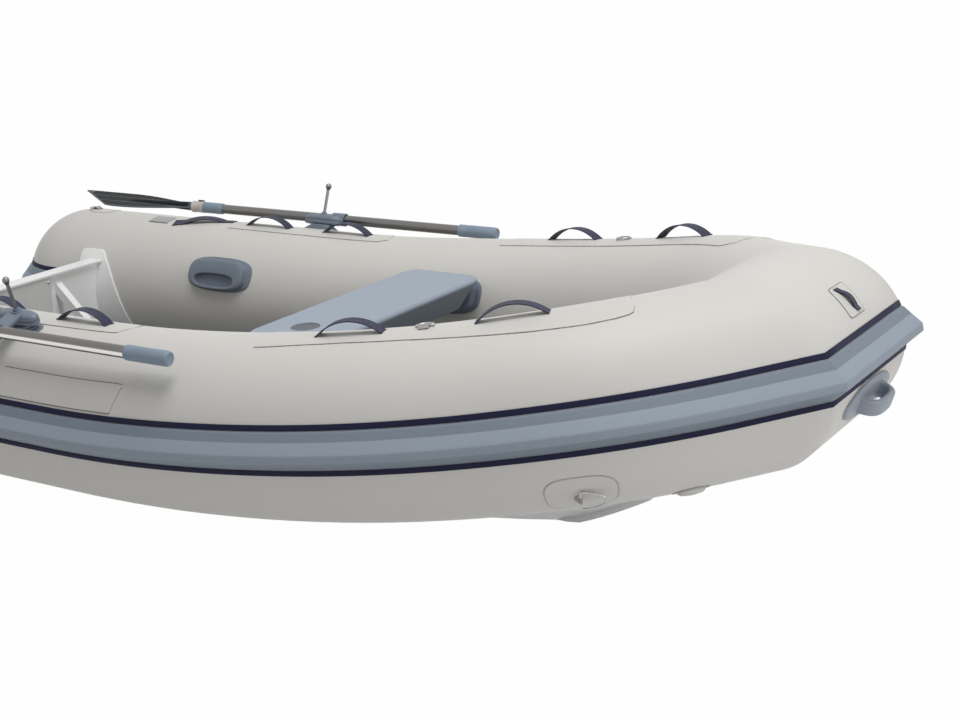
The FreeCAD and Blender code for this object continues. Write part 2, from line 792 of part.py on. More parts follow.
# Oarlock base: an oval foot that follows the tube, a boss and the fixed pin
oval_foot = placed(oval(base_length, base_width, -overrun, overrun), pin_place)
ring_bar = Part.makeCylinder(skin + base_thickness, base_length * 2,
                             Vector(pin_x - base_length, -side_axis_y, axis_height), ahead)
ring_hole = Part.makeCylinder(skin, base_length * 2, Vector(pin_x - base_length, -side_axis_y, axis_height), ahead)
foot = oval_foot.common(ring_bar).cut(ring_hole)
boss = placed(Part.makeCylinder(boss_radius, boss_height - base_thickness / 2, Vector(0, 0, base_thickness / 2)),
              pin_place)
base = foot.fuse(boss).removeSplitter()
pin_hole = placed(Part.makeCylinder(pin_radius, boss_height, Vector(0, 0, base_thickness)), pin_place)
base = base.cut(pin_hole)
add("oarlock_base_starboard", base, 1)
add("oarlock_base_port", mirrored(base), 1)
stem = Part.makeCylinder(pin_radius, ball_height - base_thickness, Vector(0, 0, base_thickness))
ball = Part.makeSphere(ball_radius, Vector(0, 0, ball_height))
pin = placed(stem.fuse(ball), pin_place)
add("oarlock_pin_starboard", pin, 1)
add("oarlock_pin_port", mirrored(pin), 1)

# Swivel: a long block on the pin with a clip for the oar shaft
swivel_low = boss_height + running_gap
block = Part.makeBox(swivel_length, swivel_width, swivel_height,
                     Vector(-swivel_length / 2, -swivel_width / 2, swivel_low))
upright = [e for e in block.Edges if abs(e.tangentAt(e.FirstParameter).z) > 0.9]
block = block.makeFillet(swivel_width * 0.42, upright)
clip_inner = shaft_radius + seat_gap
clip_outer = clip_inner + clip_wall
ring = Part.makeCylinder(clip_outer, clip_length, Vector(-clip_length / 2, -oar_offset, oar_height), ahead)
arm_thickness = clip_wall * 2.4
arm = Part.makeBox(clip_length, oar_offset - swivel_width / 2 + clip_wall, arm_thickness,
                   Vector(-clip_length / 2, -oar_offset, swivel_low + swivel_height - arm_thickness))
swivel = block.fuse([ring, arm])
shaft_room = Part.makeCylinder(clip_inner, swivel_length + overrun * 2,
                               Vector(-swivel_length / 2 - overrun, -oar_offset, oar_height), ahead)
bore = Part.makeCylinder(pin_radius + running_gap, swivel_height + overrun * 2, Vector(0, 0, swivel_low - overrun))
swivel = placed(swivel.cut(shaft_room).cut(bore).removeSplitter(), pin_place)
add("oarlock_swivel_starboard", swivel, 1)
add("oarlock_swivel_port", mirrored(swivel), 1)


# Oar: shaft, grip, ferrule, collar and blade on one line beside the pin
def along_oar(x):
    return Vector(x - pin_x, -oar_offset, oar_height)


grip_start = grip_end_x - grip_length
ferrule_start = blade_root_x + collar_length
shaft_start = ferrule_start + ferrule_length
shaft = Part.makeCylinder(shaft_radius, grip_start - shaft_start, along_oar(shaft_start), ahead)
grip = Part.makeCylinder(grip_radius, grip_length, along_oar(grip_start), ahead)
grip_edges = [e for e in grip.Edges if e.Length > 1 and abs(e.CenterOfMass.x - grip_end_x + pin_x) < 0.1]
grip = grip.makeFillet(grip_radius * 0.3, grip_edges[:1])
ferrule = Part.makeCylinder(ferrule_radius, ferrule_length, along_oar(ferrule_start), ahead)
collar = Part.makeCylinder(collar_radius, collar_length, along_oar(blade_root_x), ahead)
blade_length = blade_root_x - blade_tip_x
half_blade = blade_width / 2
blade_outline_shares = (
    (0.0, -0.24), (0.10, -0.36), (0.36, -0.80), (0.55, -1.0), (1.0, -1.0),
    (0.63, 1.0), (0.52, 1.0), (0.36, 0.80), (0.10, 0.36), (0.0, 0.24),
)
blade_places = [
    along_oar(blade_root_x - sx * blade_length) + Vector(0, sy * half_blade, -blade_thickness / 2)
    for sx, sy in blade_outline_shares
]
blade = Part.Face(Part.makePolygon(blade_places + blade_places[:1])).extrude(Vector(0, 0, blade_thickness))
spine_length = blade_length * 0.6
spine = Part.makeCone(shaft_radius, blade_thickness * 0.7, spine_length, along_oar(blade_root_x), Vector(-1, 0, 0))
blade = blade.fuse(spine).removeSplitter()
blade.rotate(along_oar(blade_root_x), ahead, pin_angle - 90)
for name, shape in (
    ("oar_shaft", shaft), ("oar_grip", grip), ("oar_collar", Part.makeCompound([ferrule, collar])), ("oar_blade", blade)
):
    shape = placed(shape, pin_place)
    add(name + "_starboard", shape, len(shape.Solids))
    add(name + "_port", mirrored(shape), len(shape.Solids))


# Steel rings in webbing tabs
def d_ring():
    half = ring_width / 2
    arc = Part.makeTorus(half, ring_wire, origin, up, -180, 180, 180)
    bar = Part.makeCylinder(ring_wire, ring_width, Vector(-half, 0, 0), ahead)
    ends = [Part.makeSphere(ring_wire, Vector(x, 0, 0)) for x in (-half, half)]
    return arc.fuse([bar] + ends).removeSplitter()


tab_width = ring_width * 0.6
tab_depth = ring_depth * 0.75
tab_height = ring_wire * 2 + strap_thickness


def ring_and_tab(x, angle, lift, turn):
    place = local(x, angle, lift).multiply(Placement(origin, Rotation(up, turn)))
    tab = Part.makeBox(tab_width, tab_depth, tab_height, Vector(-tab_width / 2, -tab_depth + ring_wire * 2, 0))
    room = Part.makeCylinder(ring_wire + seat_gap, ring_width, Vector(-ring_width / 2, 0, tab_height / 2), ahead)
    tab = tab.cut(room)
    ring = d_ring()
    ring.translate(Vector(0, 0, tab_height / 2))
    return placed(ring, place), placed(tab, place)


ring_places = (
    (top_ring_x, top_ring_angle, patch_top, 0.0),
    (stern_ring_x, stern_ring_angle, patch_top, 90.0),
    (low_ring_x, low_ring_angle, patch_top, 180.0),
)
rings = [ring_and_tab(*place) for place in ring_places]
ring_set = Part.makeCompound([ring for ring, tab in rings])
add("rings_starboard", ring_set, 3)
add("rings_port", mirrored(ring_set), 3)
low_outline = rounded(low_patch_x, low_patch_length, low_patch_low_angle, low_patch_high_angle)
low_patch = bonded(low_outline, low_patch_x, low_ring_angle, patch_thickness)
stern_outline = rounded(stern_patch_x, stern_patch_length, stern_patch_low_angle, stern_patch_high_angle)
stern_patch = bonded(stern_outline, stern_patch_x, stern_ring_angle, patch_thickness)
ring_patches = Part.makeCompound([tab for ring, tab in rings] + [low_patch, stern_patch])
add("ring_patches_starboard", ring_patches, 5)
add("ring_patches_port", mirrored(ring_patches), 5)


# Bow fittings on the transverse tube
def local_bow(y, angle, lift):
    a = math.radians(angle)
    away = Vector(math.cos(a), 0, math.sin(a))
    tangent = Vector(0, 1, 0)
    place = Vector(bow_axis_x, y, axis_height + bow_rise) + away * (tube_radius + lift)
    return Placement(place, Rotation(tangent, away.cross(tangent), away, "ZXY"))


def on_bow(prism, angle, thickness, lift):
    """A sheet on the bow tube, as a prism drawn along the normal cuts it."""
    return placed(prism, local_bow(0, angle, 0)).common(bow_bar(skin + lift + thickness)).cut(bow_bar(skin + lift))


bow_handle_patch = on_bow(oval(bow_patch_width, bow_patch_tall, -overrun, overrun), handle_angle, patch_thickness, 0)
plate_lift = patch_thickness + seat_gap
plate_pad = oval(handle_plate_width, handle_plate_tall, -overrun, overrun)
plate_pad = on_bow(plate_pad, handle_angle, handle_plate, plate_lift)
half = handle_width / 2
loop_outline_shares = (
    (-1.0, 0.0), (-0.97, 0.35), (-0.86, 0.66), (-0.66, 0.88), (-0.38, 0.98),
    (0.38, 0.98), (0.66, 0.88), (0.86, 0.66), (0.97, 0.35), (1.0, 0.0),
)
loop_places = [Vector(sx * half, 0, sz * handle_out) for sx, sz in loop_outline_shares]
loop = Part.Face(Part.makePolygon(loop_places + loop_places[:1])).extrude(Vector(0, handle_tall, 0))
gap_places = [
    Vector(sx * (half - handle_bar), 0, sz * (handle_out - handle_bar) + handle_plate * (1 - sz))
    for sx, sz in loop_outline_shares
]
gap = Part.Face(Part.makePolygon(gap_places + gap_places[:1])).extrude(Vector(0, handle_tall, 0))
loop = loop.cut(gap)
loop.translate(Vector(0, -handle_tall / 2, 0))
loop = placed(loop, local_bow(0, handle_angle, 0))
bow_handle = loop.fuse(plate_pad).cut(bow_bar(skin + plate_lift)).removeSplitter()
add("bow_handle_patch", bow_handle_patch, 1)
add("bow_handle", bow_handle, 1)
strap_block = Part.makeBox(
    strap_patch_width, strap_patch_tall, overrun * 2, Vector(-strap_patch_width / 2, -strap_patch_tall / 2, -overrun)
)
strap_block = strap_block.makeFillet(
    strap_patch_round, [e for e in strap_block.Edges if abs(e.tangentAt(e.FirstParameter).z) > 0.9]
)
bow_strap_patch = on_bow(strap_block, strap_angle, patch_thickness, 0)


def strap_outline(half, rise, foot, base):
    """A low arched strap with flat feet, drawn in the upright plane."""
    return Part.Wire([
        Part.LineSegment(Vector(-half - foot, 0, base), Vector(-half, 0, base)).toShape(),
        Part.Arc(Vector(-half, 0, base), Vector(0, 0, base + rise), Vector(half, 0, base)).toShape(),
        Part.LineSegment(Vector(half, 0, base), Vector(half + foot, 0, base)).toShape(),
        Part.LineSegment(Vector(half + foot, 0, base), Vector(half + foot, 0, base + strap_thickness)).toShape(),
        Part.LineSegment(
            Vector(half + foot, 0, base + strap_thickness), Vector(half, 0, base + strap_thickness)
        ).toShape(),
        Part.Arc(
            Vector(half, 0, base + strap_thickness), Vector(0, 0, base + rise + strap_thickness),
            Vector(-half, 0, base + strap_thickness)
        ).toShape(),
        Part.LineSegment(
            Vector(-half, 0, base + strap_thickness), Vector(-half - foot, 0, base + strap_thickness)
        ).toShape(),
        Part.LineSegment(Vector(-half - foot, 0, base + strap_thickness), Vector(-half - foot, 0, base)).toShape(),
    ])


bow_loop = Part.Face(strap_outline(loop_span / 2, loop_rise, loop_foot, patch_thickness + seat_gap * 2))
bow_loop = bow_loop.extrude(Vector(0, loop_width, 0))
bow_loop.translate(Vector(0, -loop_width / 2, 0))
bow_loop.rotate(origin, up, 90)
bow_loop = placed(bow_loop, local_bow(0, strap_angle, 0))
add("bow_strap_patch", Part.makeCompound([bow_strap_patch, bow_loop]), 2)

# Towing pads low on the bow quarters
cap_radius = (pad_round ** 2 + pad_rise ** 2) / (2 * pad_rise)
tow_pad = Part.makeSphere(cap_radius, Vector(0, 0, pad_rise - cap_radius))
tow_pad = placed(tow_pad, local(pad_x, pad_angle, 0))
tow_pad = tow_pad.cut(skin_bar)
add("tow_pad_starboard", tow_pad, 1)
add("tow_pad_port", mirrored(tow_pad), 1)

doc.recompute()
os.makedirs("parts", exist_ok=True)
for feature in doc.Objects:
    if feature.TypeId.startswith("Part::") and feature.Shape.Solids:
        feature.Shape.exportStep("parts/" + feature.Label + ".step")
        box = feature.Shape.BoundBox
        print(feature.Label, len(feature.Shape.Solids), round(feature.Shape.Volume / 1e6, 2), "l",
              [round(v) for v in (box.XMin, box.XMax, box.YMin, box.YMax, box.ZMin, box.ZMax)])
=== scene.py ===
import json
import logging
import math
from dataclasses import dataclass, field
from enum import Enum
from typing import Callable, Sequence

import bmesh
import bpy
import numpy as np
from mathutils import Matrix, Vector


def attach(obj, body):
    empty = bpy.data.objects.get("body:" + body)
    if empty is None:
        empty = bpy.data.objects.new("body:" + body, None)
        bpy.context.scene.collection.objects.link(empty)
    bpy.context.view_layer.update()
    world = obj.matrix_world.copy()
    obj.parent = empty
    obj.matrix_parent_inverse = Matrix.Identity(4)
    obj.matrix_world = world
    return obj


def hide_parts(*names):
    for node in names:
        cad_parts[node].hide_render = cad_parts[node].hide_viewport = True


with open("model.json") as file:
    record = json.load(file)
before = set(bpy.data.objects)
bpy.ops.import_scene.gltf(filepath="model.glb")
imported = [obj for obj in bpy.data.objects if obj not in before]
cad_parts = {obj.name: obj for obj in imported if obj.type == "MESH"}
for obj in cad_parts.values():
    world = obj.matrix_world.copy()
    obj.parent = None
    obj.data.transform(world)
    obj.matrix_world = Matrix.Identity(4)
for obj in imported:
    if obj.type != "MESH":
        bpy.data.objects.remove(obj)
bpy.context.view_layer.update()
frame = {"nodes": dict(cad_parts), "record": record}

LOG = logging.getLogger("tender")
Array = np.ndarray
Triple = tuple[float, float, float]
Table = Sequence[Sequence[float]]
BODY = "boat"


class Sock:
    """A shader socket that takes part in Python expressions on numbers."""

    def __init__(self, tree: bpy.types.NodeTree, out: bpy.types.NodeSocket) -> None:
        """Keeps the tree and the output socket."""
        self.tree = tree
        self.out = out

    def maths(self, operation: str, *others: "Sock | float") -> "Sock":
        """Adds one Math node.

        Args:
            operation: the node's operation.
            others: the operands after this one.

        Returns:
            The node's result.
        """
        node = self.tree.nodes.new("ShaderNodeMath")
        node.operation = operation
        for place, value in enumerate((self, *others)):
            feed(self.tree, node.inputs[place], value)
        return Sock(self.tree, node.outputs[0])

    def __add__(self, other: "Sock | float") -> "Sock":
        """Sum."""
        return self.maths("ADD", other)

    def __radd__(self, other: float) -> "Sock":
        """Sum with a number on the left."""
        return self.maths("ADD", other)

    def __sub__(self, other: "Sock | float") -> "Sock":
        """Difference."""
        return self.maths("SUBTRACT", other)

    def __rsub__(self, other: float) -> "Sock":
        """A number less the socket."""
        return (self * -1.0).maths("ADD", other)

    def __mul__(self, other: "Sock | float") -> "Sock":
        """Product."""
        return self.maths("MULTIPLY", other)

    def __rmul__(self, other: float) -> "Sock":
        """Product with a number on the left."""
        return self.maths("MULTIPLY", other)

    def ramp(self, low: float, high: float) -> "Sock":
        """A smooth step from 0 at low to 1 at high.

        Args:
            low: the value at which the step starts.
            high: the value at which it ends.

        Returns:
            The step's value.
        """
        node = self.tree.nodes.new("ShaderNodeMapRange")
        node.interpolation_type = "SMOOTHSTEP"
        feed(self.tree, node.inputs["Value"], self)
        node.inputs["From Min"].default_value = low
        node.inputs["From Max"].default_value = high
        return Sock(self.tree, node.outputs["Result"])


def feed(tree: bpy.types.NodeTree, socket: bpy.types.NodeSocket, value: object) -> None:
    """Links a socket to another, or sets its number, colour or vector.

    Args:
        tree: the node tree.
        socket: the input socket.
        value: another socket, a number, a colour or a vector.
    """
    if isinstance(value, Sock):
        tree.links.new(value.out, socket)
    elif isinstance(value, (tuple, list)) and len(value) == 3 and socket.type == "RGBA":
        socket.default_value = (*value, 1.0)
    else:
        socket.default_value = value


class Shader:
    """One node material while it is made."""

    def __init__(self, name: str, **constants: object) -> None:
        """Starts a material with a Principled shader.

        Args:
            name: the material's name.
            constants: socket names, with underscores for spaces, and their values.
        """
        self.material = bpy.data.materials.new(name)
        self.material.use_nodes = True
        self.tree = self.material.node_tree
        self.surface = self.tree.nodes["Principled BSDF"]
        for key, value in constants.items():
            feed(self.tree, self.surface.inputs[key.replace("_", " ")], value)

    def node(self, kind: str, settings: dict | None = None, inputs: dict | None = None,
             output: int | str = 0) -> Sock:
        """Adds a node of any kind.

        Args:
            kind: the node's type.
            settings: its own settings, which are set first.
            inputs: values or links of its sockets, by name or number.
            output: the output that is returned.

        Returns:
            The chosen output.
        """
        node = self.tree.nodes.new(kind)
        for key, value in (settings or {}).items():
            setattr(node, key, value)
        for key, value in (inputs or {}).items():
            feed(self.tree, node.inputs[key], value)
        return Sock(self.tree, node.outputs[output])

    def place(self) -> Sock:
        """Object coordinates."""
        return self.node("ShaderNodeTexCoord", output="Object")

    def value(self, name: str) -> Sock:
        """A point attribute of the piece."""
        return self.node("ShaderNodeAttribute", {"attribute_name": name}, output="Fac")

    def noise(self, scale: float, detail: float = 2.0, where: Sock | None = None) -> Sock:
        """Noise between 0 and 1.

        Args:
            scale: how many lumps a metre has.
            detail: octaves.
            where: the coordinates, or object coordinates.

        Returns:
            The noise's factor.
        """
        return self.node("ShaderNodeTexNoise", inputs={
            "Vector": where or self.place(), "Scale": scale, "Detail": detail}, output="Fac")

    def stretched(self, factors: Sequence[float], where: Sock | None = None) -> Sock:
        """Coordinates multiplied along each axis."""
        return self.node("ShaderNodeVectorMath", {"operation": "MULTIPLY"},
                         {0: where or self.place(), 1: tuple(factors)})

    def mix(self, factor: Sock, a: Sequence[float] | Sock, b: Sequence[float] | Sock) -> Sock:
        """Mixes two colours.

        Args:
            factor: 0 gives a, 1 gives b.
            a: a colour or a socket.
            b: a colour or a socket.

        Returns:
            The mixed colour.
        """
        return self.node("ShaderNodeMix", {"data_type": "RGBA"}, {0: factor, 6: a, 7: b}, output=2)

    def shades(self, factor: Sock, colour: Triple, low: float, high: float) -> Sock:
        """A colour that runs between two shades of itself.

        Args:
            factor: 0 gives the low shade, 1 the high one.
            colour: the colour.
            low: the low shade's share of it.
            high: the high shade's share of it.

        Returns:
            The mixed colour.
        """
        return self.mix(factor, shade(colour, low), shade(colour, high))

    def rough(self, noise: Sock, middle: float, spread: float) -> None:
        """Feeds a roughness that a noise moves about its middle by half the spread."""
        self.feed("Roughness", noise * spread + (middle - spread / 2))

    def bump(self, height: Sock, distance: float, strength: float) -> None:
        """Feeds the normal from a height between 0 and 1, whose 1 is the distance in metres.

        Args:
            height: the height, between 0 and 1.
            distance: its reach in metres.
            strength: the bump's strength.
        """
        out = self.node("ShaderNodeBump", inputs={
            "Height": height, "Distance": distance, "Strength": strength}, output="Normal")
        feed(self.tree, self.surface.inputs["Normal"], out)

    def feed(self, socket: str, value: object) -> None:
        """Feeds a socket of the Principled shader."""
        feed(self.tree, self.surface.inputs[socket], value)


def shade(colour: Triple, factor: float) -> tuple[float, ...]:
    """A colour made darker or lighter by a factor."""
    return tuple(min(c * factor, 1.0) for c in colour)


@dataclass(frozen=True)
class CollarFabric:
    """Coated fabric: a soft satin grain, faint mottling and darker edge lines, partly seams and partly painted
    contact shadow.
    """

    name: str = "collar_fabric"
    colour: Triple = (0.70, 0.685, 0.65)
    roughness: float = 0.5
    # the share of the colour left in the marked edge lines, which are partly seam darkening and partly painted
    # contact shadow
    line: float = 0.30

    def build(self) -> bpy.types.Material:
        """Makes the material.

        Returns:
            The material.
        """
        s = Shader(self.name, Roughness=self.roughness, Specular_IOR_Level=0.35, Sheen_Weight=0.08,
                   Sheen_Roughness=0.5)
        mottled = s.shades(s.noise(2.4, 3.0), self.colour, 0.975, 1.02)
        # the marked edge lines are partly a real seam and partly painted contact shadow
        s.feed("Base Color", s.mix(s.value("seam"), mottled, shade(self.colour, self.line)))
        s.rough(s.noise(60.0), self.roughness, 0.12)
        s.bump(s.noise(1100.0, 1.0) + s.noise(320.0) * 0.7, 0.00012, 0.35)
        return s.material


@dataclass(frozen=True)
class RailRubber:
    """Extruded blue-grey rubber with a fine pebbled grain."""

    name: str = "rail_rubber"
    nose: Triple = (0.305, 0.358, 0.422)
    band: Triple = (0.192, 0.232, 0.282)
    roughness: float = 0.55

    def build(self) -> bpy.types.Material:
        """Makes the material.

        Returns:
            The material.
        """
        s = Shader(self.name, Specular_IOR_Level=0.4)
        grain = s.noise(520.0)
        pebbles = grain.ramp(0.35, 0.7)
        nose, band = s.shades(pebbles, self.nose, 0.95, 1.05), s.shades(pebbles, self.band, 0.95, 1.05)
        s.feed("Base Color", s.mix(s.value("nose"), band, nose))
        s.rough(s.noise(40.0), self.roughness, 0.14)
        s.bump(grain, 0.0003, 0.5)
        return s.material


@dataclass(frozen=True)
class TrimStrip:
    """A bonded navy strip with a satin face."""

    name: str = "navy_trim"
    colour: Triple = (0.014, 0.015, 0.042)
    roughness: float = 0.6

    def build(self) -> bpy.types.Material:
        """Makes the material.

        Returns:
            The material.
        """
        s = Shader(self.name, Specular_IOR_Level=0.15)
        s.feed("Base Color", s.shades(s.noise(30.0), self.colour, 0.9, 1.15))
        s.rough(s.noise(90.0), self.roughness, 0.1)
        s.bump(s.noise(700.0), 0.0001, 0.3)
        return s.material


@dataclass(frozen=True)
class Webbing:
    """Woven navy webbing: a twill of crossing yarns read from the strap's own UV in metres."""

    name: str = "navy_webbing"
    colour: Triple = (0.028, 0.030, 0.066)
    pitch: float = 0.0016

    def build(self) -> bpy.types.Material:
        """Makes the material.

        Returns:
            The material.
        """
        s = Shader(self.name, Roughness=0.75, Specular_IOR_Level=0.3, Sheen_Weight=0.25, Sheen_Roughness=0.4)
        uv = s.node("ShaderNodeUVMap", {"uv_map": "UVMap"})
        u, v = (s.node("ShaderNodeSeparateXYZ", inputs={0: uv}, output=k) for k in (0, 1))
        turn = 2 * math.pi / self.pitch
        warp = (u * turn + v * turn).maths("SINE") * 0.5 + 0.5
        weft = (u * turn - v * turn).maths("SINE") * 0.5 + 0.5
        yarn = warp.maths("MAXIMUM", weft)
        s.feed("Base Color", s.shades(yarn, self.colour, 0.55, 1.25))
        s.bump(yarn, 0.0004, 0.6)
        return s.material


@dataclass(frozen=True)
class Moulding:
    """Moulded plastic or rubber with a spark-eroded grain and faint mottling."""

    name: str
    colour: Triple
    roughness: float = 0.5
    grain: float = 650.0
    depth: float = 0.00018

    def build(self) -> bpy.types.Material:
        """Makes the material.

        Returns:
            The material.
        """
        s = Shader(self.name, Specular_IOR_Level=0.4)
        s.feed("Base Color", s.shades(s.noise(9.0, 3.0), self.colour, 0.94, 1.05))
        s.rough(s.noise(120.0), self.roughness, 0.12)
        s.bump(s.noise(self.grain), self.depth, 0.45)
        return s.material


@dataclass(frozen=True)
class Coating:
    """Powder coat on sheet aluminium: a fine orange peel."""

    name: str
    colour: Triple
    roughness: float = 0.38

    def build(self) -> bpy.types.Material:
        """Makes the material.

        Returns:
            The material.
        """
        s = Shader(self.name, Specular_IOR_Level=0.5, Coat_Roughness=0.2, Coat_Weight=0.1)
        s.feed("Base Color", s.shades(s.noise(5.0, 3.0), self.colour, 0.97, 1.02))
        s.rough(s.noise(35.0), self.roughness, 0.1)
        s.bump(s.noise(260.0), 0.00015, 0.3)
        return s.material


@dataclass(frozen=True)
class DeckCoat:
    """Non-slip deck paint: coarse grit in a grey coat."""

    name: str = "deck_paint"
    colour: Triple = (0.16, 0.165, 0.17)

    def build(self) -> bpy.types.Material:
        """Makes the material.

        Returns:
            The material.
        """
        s = Shader(self.name, Roughness=0.75)
        grit = s.noise(420.0, 3.0)
        s.feed("Base Color", s.shades(grit.ramp(0.4, 0.7), self.colour, 0.9, 1.1))
        s.bump(grit.ramp(0.45, 0.65), 0.0006, 0.7)
        return s.material


@dataclass(frozen=True)
class Metal:
    """Bare metal, drawn or brushed along one axis, with a painted highlight: a paler streak where one is
    marked.
    """

    name: str
    colour: Triple
    roughness: float = 0.28
    stretch: Triple = (3.0, 900.0, 900.0)
    flash: float = 1.0

    def build(self) -> bpy.types.Material:
        """Makes the material.

        Returns:
            The material.
        """
        s = Shader(self.name, Metallic=1.0)
        streaks = s.noise(1.0, 3.0, s.stretched(self.stretch))
        base = s.shades(streaks, self.colour, 0.86, 1.08)
        # painted highlight: a paler streak of the colour where the mesh marks it
        if self.flash != 1.0:
            base = s.mix(s.value("flash"), base, shade(self.colour, self.flash))
        s.feed("Base Color", base)
        s.rough(streaks, self.roughness, 0.2)
        s.bump(streaks, 0.00005, 0.25)
        return s.material


@dataclass(frozen=True)
class BladeFinish:
    """Oar blade plastic: near-black channels between blue-grey ribs and edges."""

    name: str = "blade_plastic"
    dark: Triple = (0.012, 0.013, 0.014)
    pale: Triple = (0.135, 0.15, 0.17)
    roughness: float = 0.62

    def build(self) -> bpy.types.Material:
        """Makes the material.

        Returns:
            The material.
        """
        s = Shader(self.name, Specular_IOR_Level=0.15)
        s.feed("Base Color", s.mix(s.value("rib"), self.dark, self.pale))
        s.rough(s.noise(80.0), self.roughness, 0.12)
        s.bump(s.noise(500.0), 0.00015, 0.4)
        return s.material


@dataclass
class Shell:
    """Grids of points that become one closed mesh with UVs and point values."""

    points: list[Array] = field(default_factory=list)
    faces: list[list[int]] = field(default_factory=list)
    uvs: list[Array] = field(default_factory=list)
    values: dict[str, list[Array]] = field(default_factory=dict)
    count: int = 0

    def grid(self, spots: Array, uv: Array | None = None, ends: bool = False, wrap: bool = False,
             **values: Array) -> "Shell":
        """Adds a grid of quads through an array of points.

        Args:
            spots: points, rows by columns by 3.
            uv: a UV for each point, or none for zeros.
            ends: closes the first and last row with one face each.
            wrap: joins the last column to the first.
            values: point values, rows by columns.

        Returns:
            The shell itself.
        """
        rows, cols = spots.shape[:2]
        index = np.arange(rows * cols).reshape(rows, cols) + self.count
        if wrap:
            index = np.concatenate([index, index[:, :1]], axis=1)
        quads = np.stack([index[:-1, :-1], index[:-1, 1:], index[1:, 1:], index[1:, :-1]], axis=-1)
        self.faces += quads.reshape(-1, 4).tolist()
        if ends:
            self.faces.append(index[0, :cols].tolist())
            self.faces.append(index[-1, :cols].tolist())
        self.points.append(spots.reshape(-1, 3))
        self.uvs.append(np.zeros((rows * cols, 2)) if uv is None else uv.reshape(-1, 2))
        for key in set(self.values) | set(values):
            self.values.setdefault(key, [np.zeros(self.count)] if self.count else [])
            self.values[key].append(np.broadcast_to(values.get(key, 0.0), (rows, cols)).reshape(-1))
        self.count += rows * cols
        return self

    def finish(self, name: str, material: bpy.types.Material, slot: str, nodes: Sequence[str] = (),
               body: str = BODY, sharp: float = 35.0) -> bpy.types.Object:
        """Makes the mesh, closes its seams and puts the piece on its body.

        Args:
            name: the piece's name.
            material: its finish.
            slot: the record's material slot; not used.
            nodes: CAD nodes that it stands for.
            body: the body that it rides on.
            sharp: the angle in degrees over which an edge stays sharp.

        Returns:
            The piece.
        """
        mesh = bpy.data.meshes.new(name)
        mesh.from_pydata(np.concatenate(self.points).tolist(), [], self.faces)
        for key, parts in self.values.items():
            attribute = mesh.attributes.new(key, "FLOAT", "POINT")
            attribute.data.foreach_set("value", np.concatenate(parts).astype(np.float32))
        corners = np.zeros(len(mesh.loops), np.int32)
        mesh.loops.foreach_get("vertex_index", corners)
        layer = mesh.uv_layers.new(name="UVMap")
        layer.data.foreach_set("uv", np.concatenate(self.uvs)[corners].astype(np.float32).reshape(-1))
        work = bmesh.new()
        work.from_mesh(mesh)
        bmesh.ops.remove_doubles(work, verts=work.verts, dist=2e-6)
        bmesh.ops.recalc_face_normals(work, faces=work.faces)
        work.to_mesh(mesh)
        work.free()
        mesh.polygons.foreach_set("use_smooth", np.ones(len(mesh.polygons), bool))
        mesh.set_sharp_from_angle(angle=math.radians(sharp))
        mesh.materials.append(material)
        piece = bpy.data.objects.new(name, mesh)
        bpy.context.scene.collection.objects.link(piece)
        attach(piece, body)
        if nodes:
            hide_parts(*nodes)
        LOG.info("%s: %d faces", name, len(mesh.polygons))
        return piece


def port(spots: Array) -> Array:
    """The mirror image of points about the centreline."""
    return spots * np.array([1.0, -1.0, 1.0])


class Side(Enum):
    """The two halves of the boat."""

    STARBOARD = "starboard"
    PORT = "port"

    def place(self, spots: Array) -> Array:
        """Starboard points as they are, or mirrored to port."""
        return spots if self is Side.STARBOARD else port(spots)


def unit(v: Array) -> Array:
    """Vectors of length one."""
    return v / np.linalg.norm(v, axis=-1, keepdims=True)


def rounded(corners: Table, radius: float, steps: int = 5, closed: bool = True) -> Array:
    """A polyline whose corners are small quadratic curves.

    Args:
        corners: the polyline's corners.
        radius: how far from a corner its curve starts, at most 0.45 of a side.
        steps: points of each curve.
        closed: whether the last corner joins the first.

    Returns:
        The points, with the first repeated at the end where closed.
    """
    c = np.array(corners, float)
    before, after = np.roll(c, 1, 0) - c, np.roll(c, -1, 0) - c
    cut_a = np.minimum(radius, 0.45 * np.linalg.norm(before, axis=1))[:, None]
    cut_b = np.minimum(radius, 0.45 * np.linalg.norm(after, axis=1))[:, None]
    a, b = c + unit(before) * cut_a, c + unit(after) * cut_b
    t = np.linspace(0, 1, steps)[None, :, None]
    curve = (1 - t) ** 2 * a[:, None] + 2 * t * (1 - t) * c[:, None] + t * t * b[:, None]
    if not closed:
        curve[0], curve[-1] = c[0], c[-1]
        return curve.reshape(-1, c.shape[1])
    out = curve.reshape(-1, c.shape[1])
    return np.concatenate([out, out[:1]])


def superoval(power: Array, count: int = 96) -> Array:
    """Closed unit outlines with rounded corners, |x|^p + |y|^p = 1, one row for each power.

    Args:
        power: the power of each outline, as a column.
        count: points of an outline.

    Returns:
        Points, outlines by points by 2.
    """
    t = np.linspace(0, 2 * math.pi, count, endpoint=False)[None]
    c, s = np.cos(t), np.sin(t)
    reach = (np.abs(c) ** power + np.abs(s) ** power) ** (-1 / power)
    return np.stack([c * reach, s * reach], -1)


def spun(profile: Table, steps: int = 48) -> Array:
    """A profile of (radius, height) turned round the local Z axis.

    Args:
        profile: radius and height of each ring.
        steps: points of a ring.

    Returns:
        Points, rings by points by 3.
    """
    p = np.array(profile, float)[:, None]
    a = np.linspace(0, 2 * math.pi, steps, endpoint=False)[None]
    return np.stack([p[..., 0] * np.cos(a), p[..., 0] * np.sin(a), p[..., 1] + 0 * a], -1)


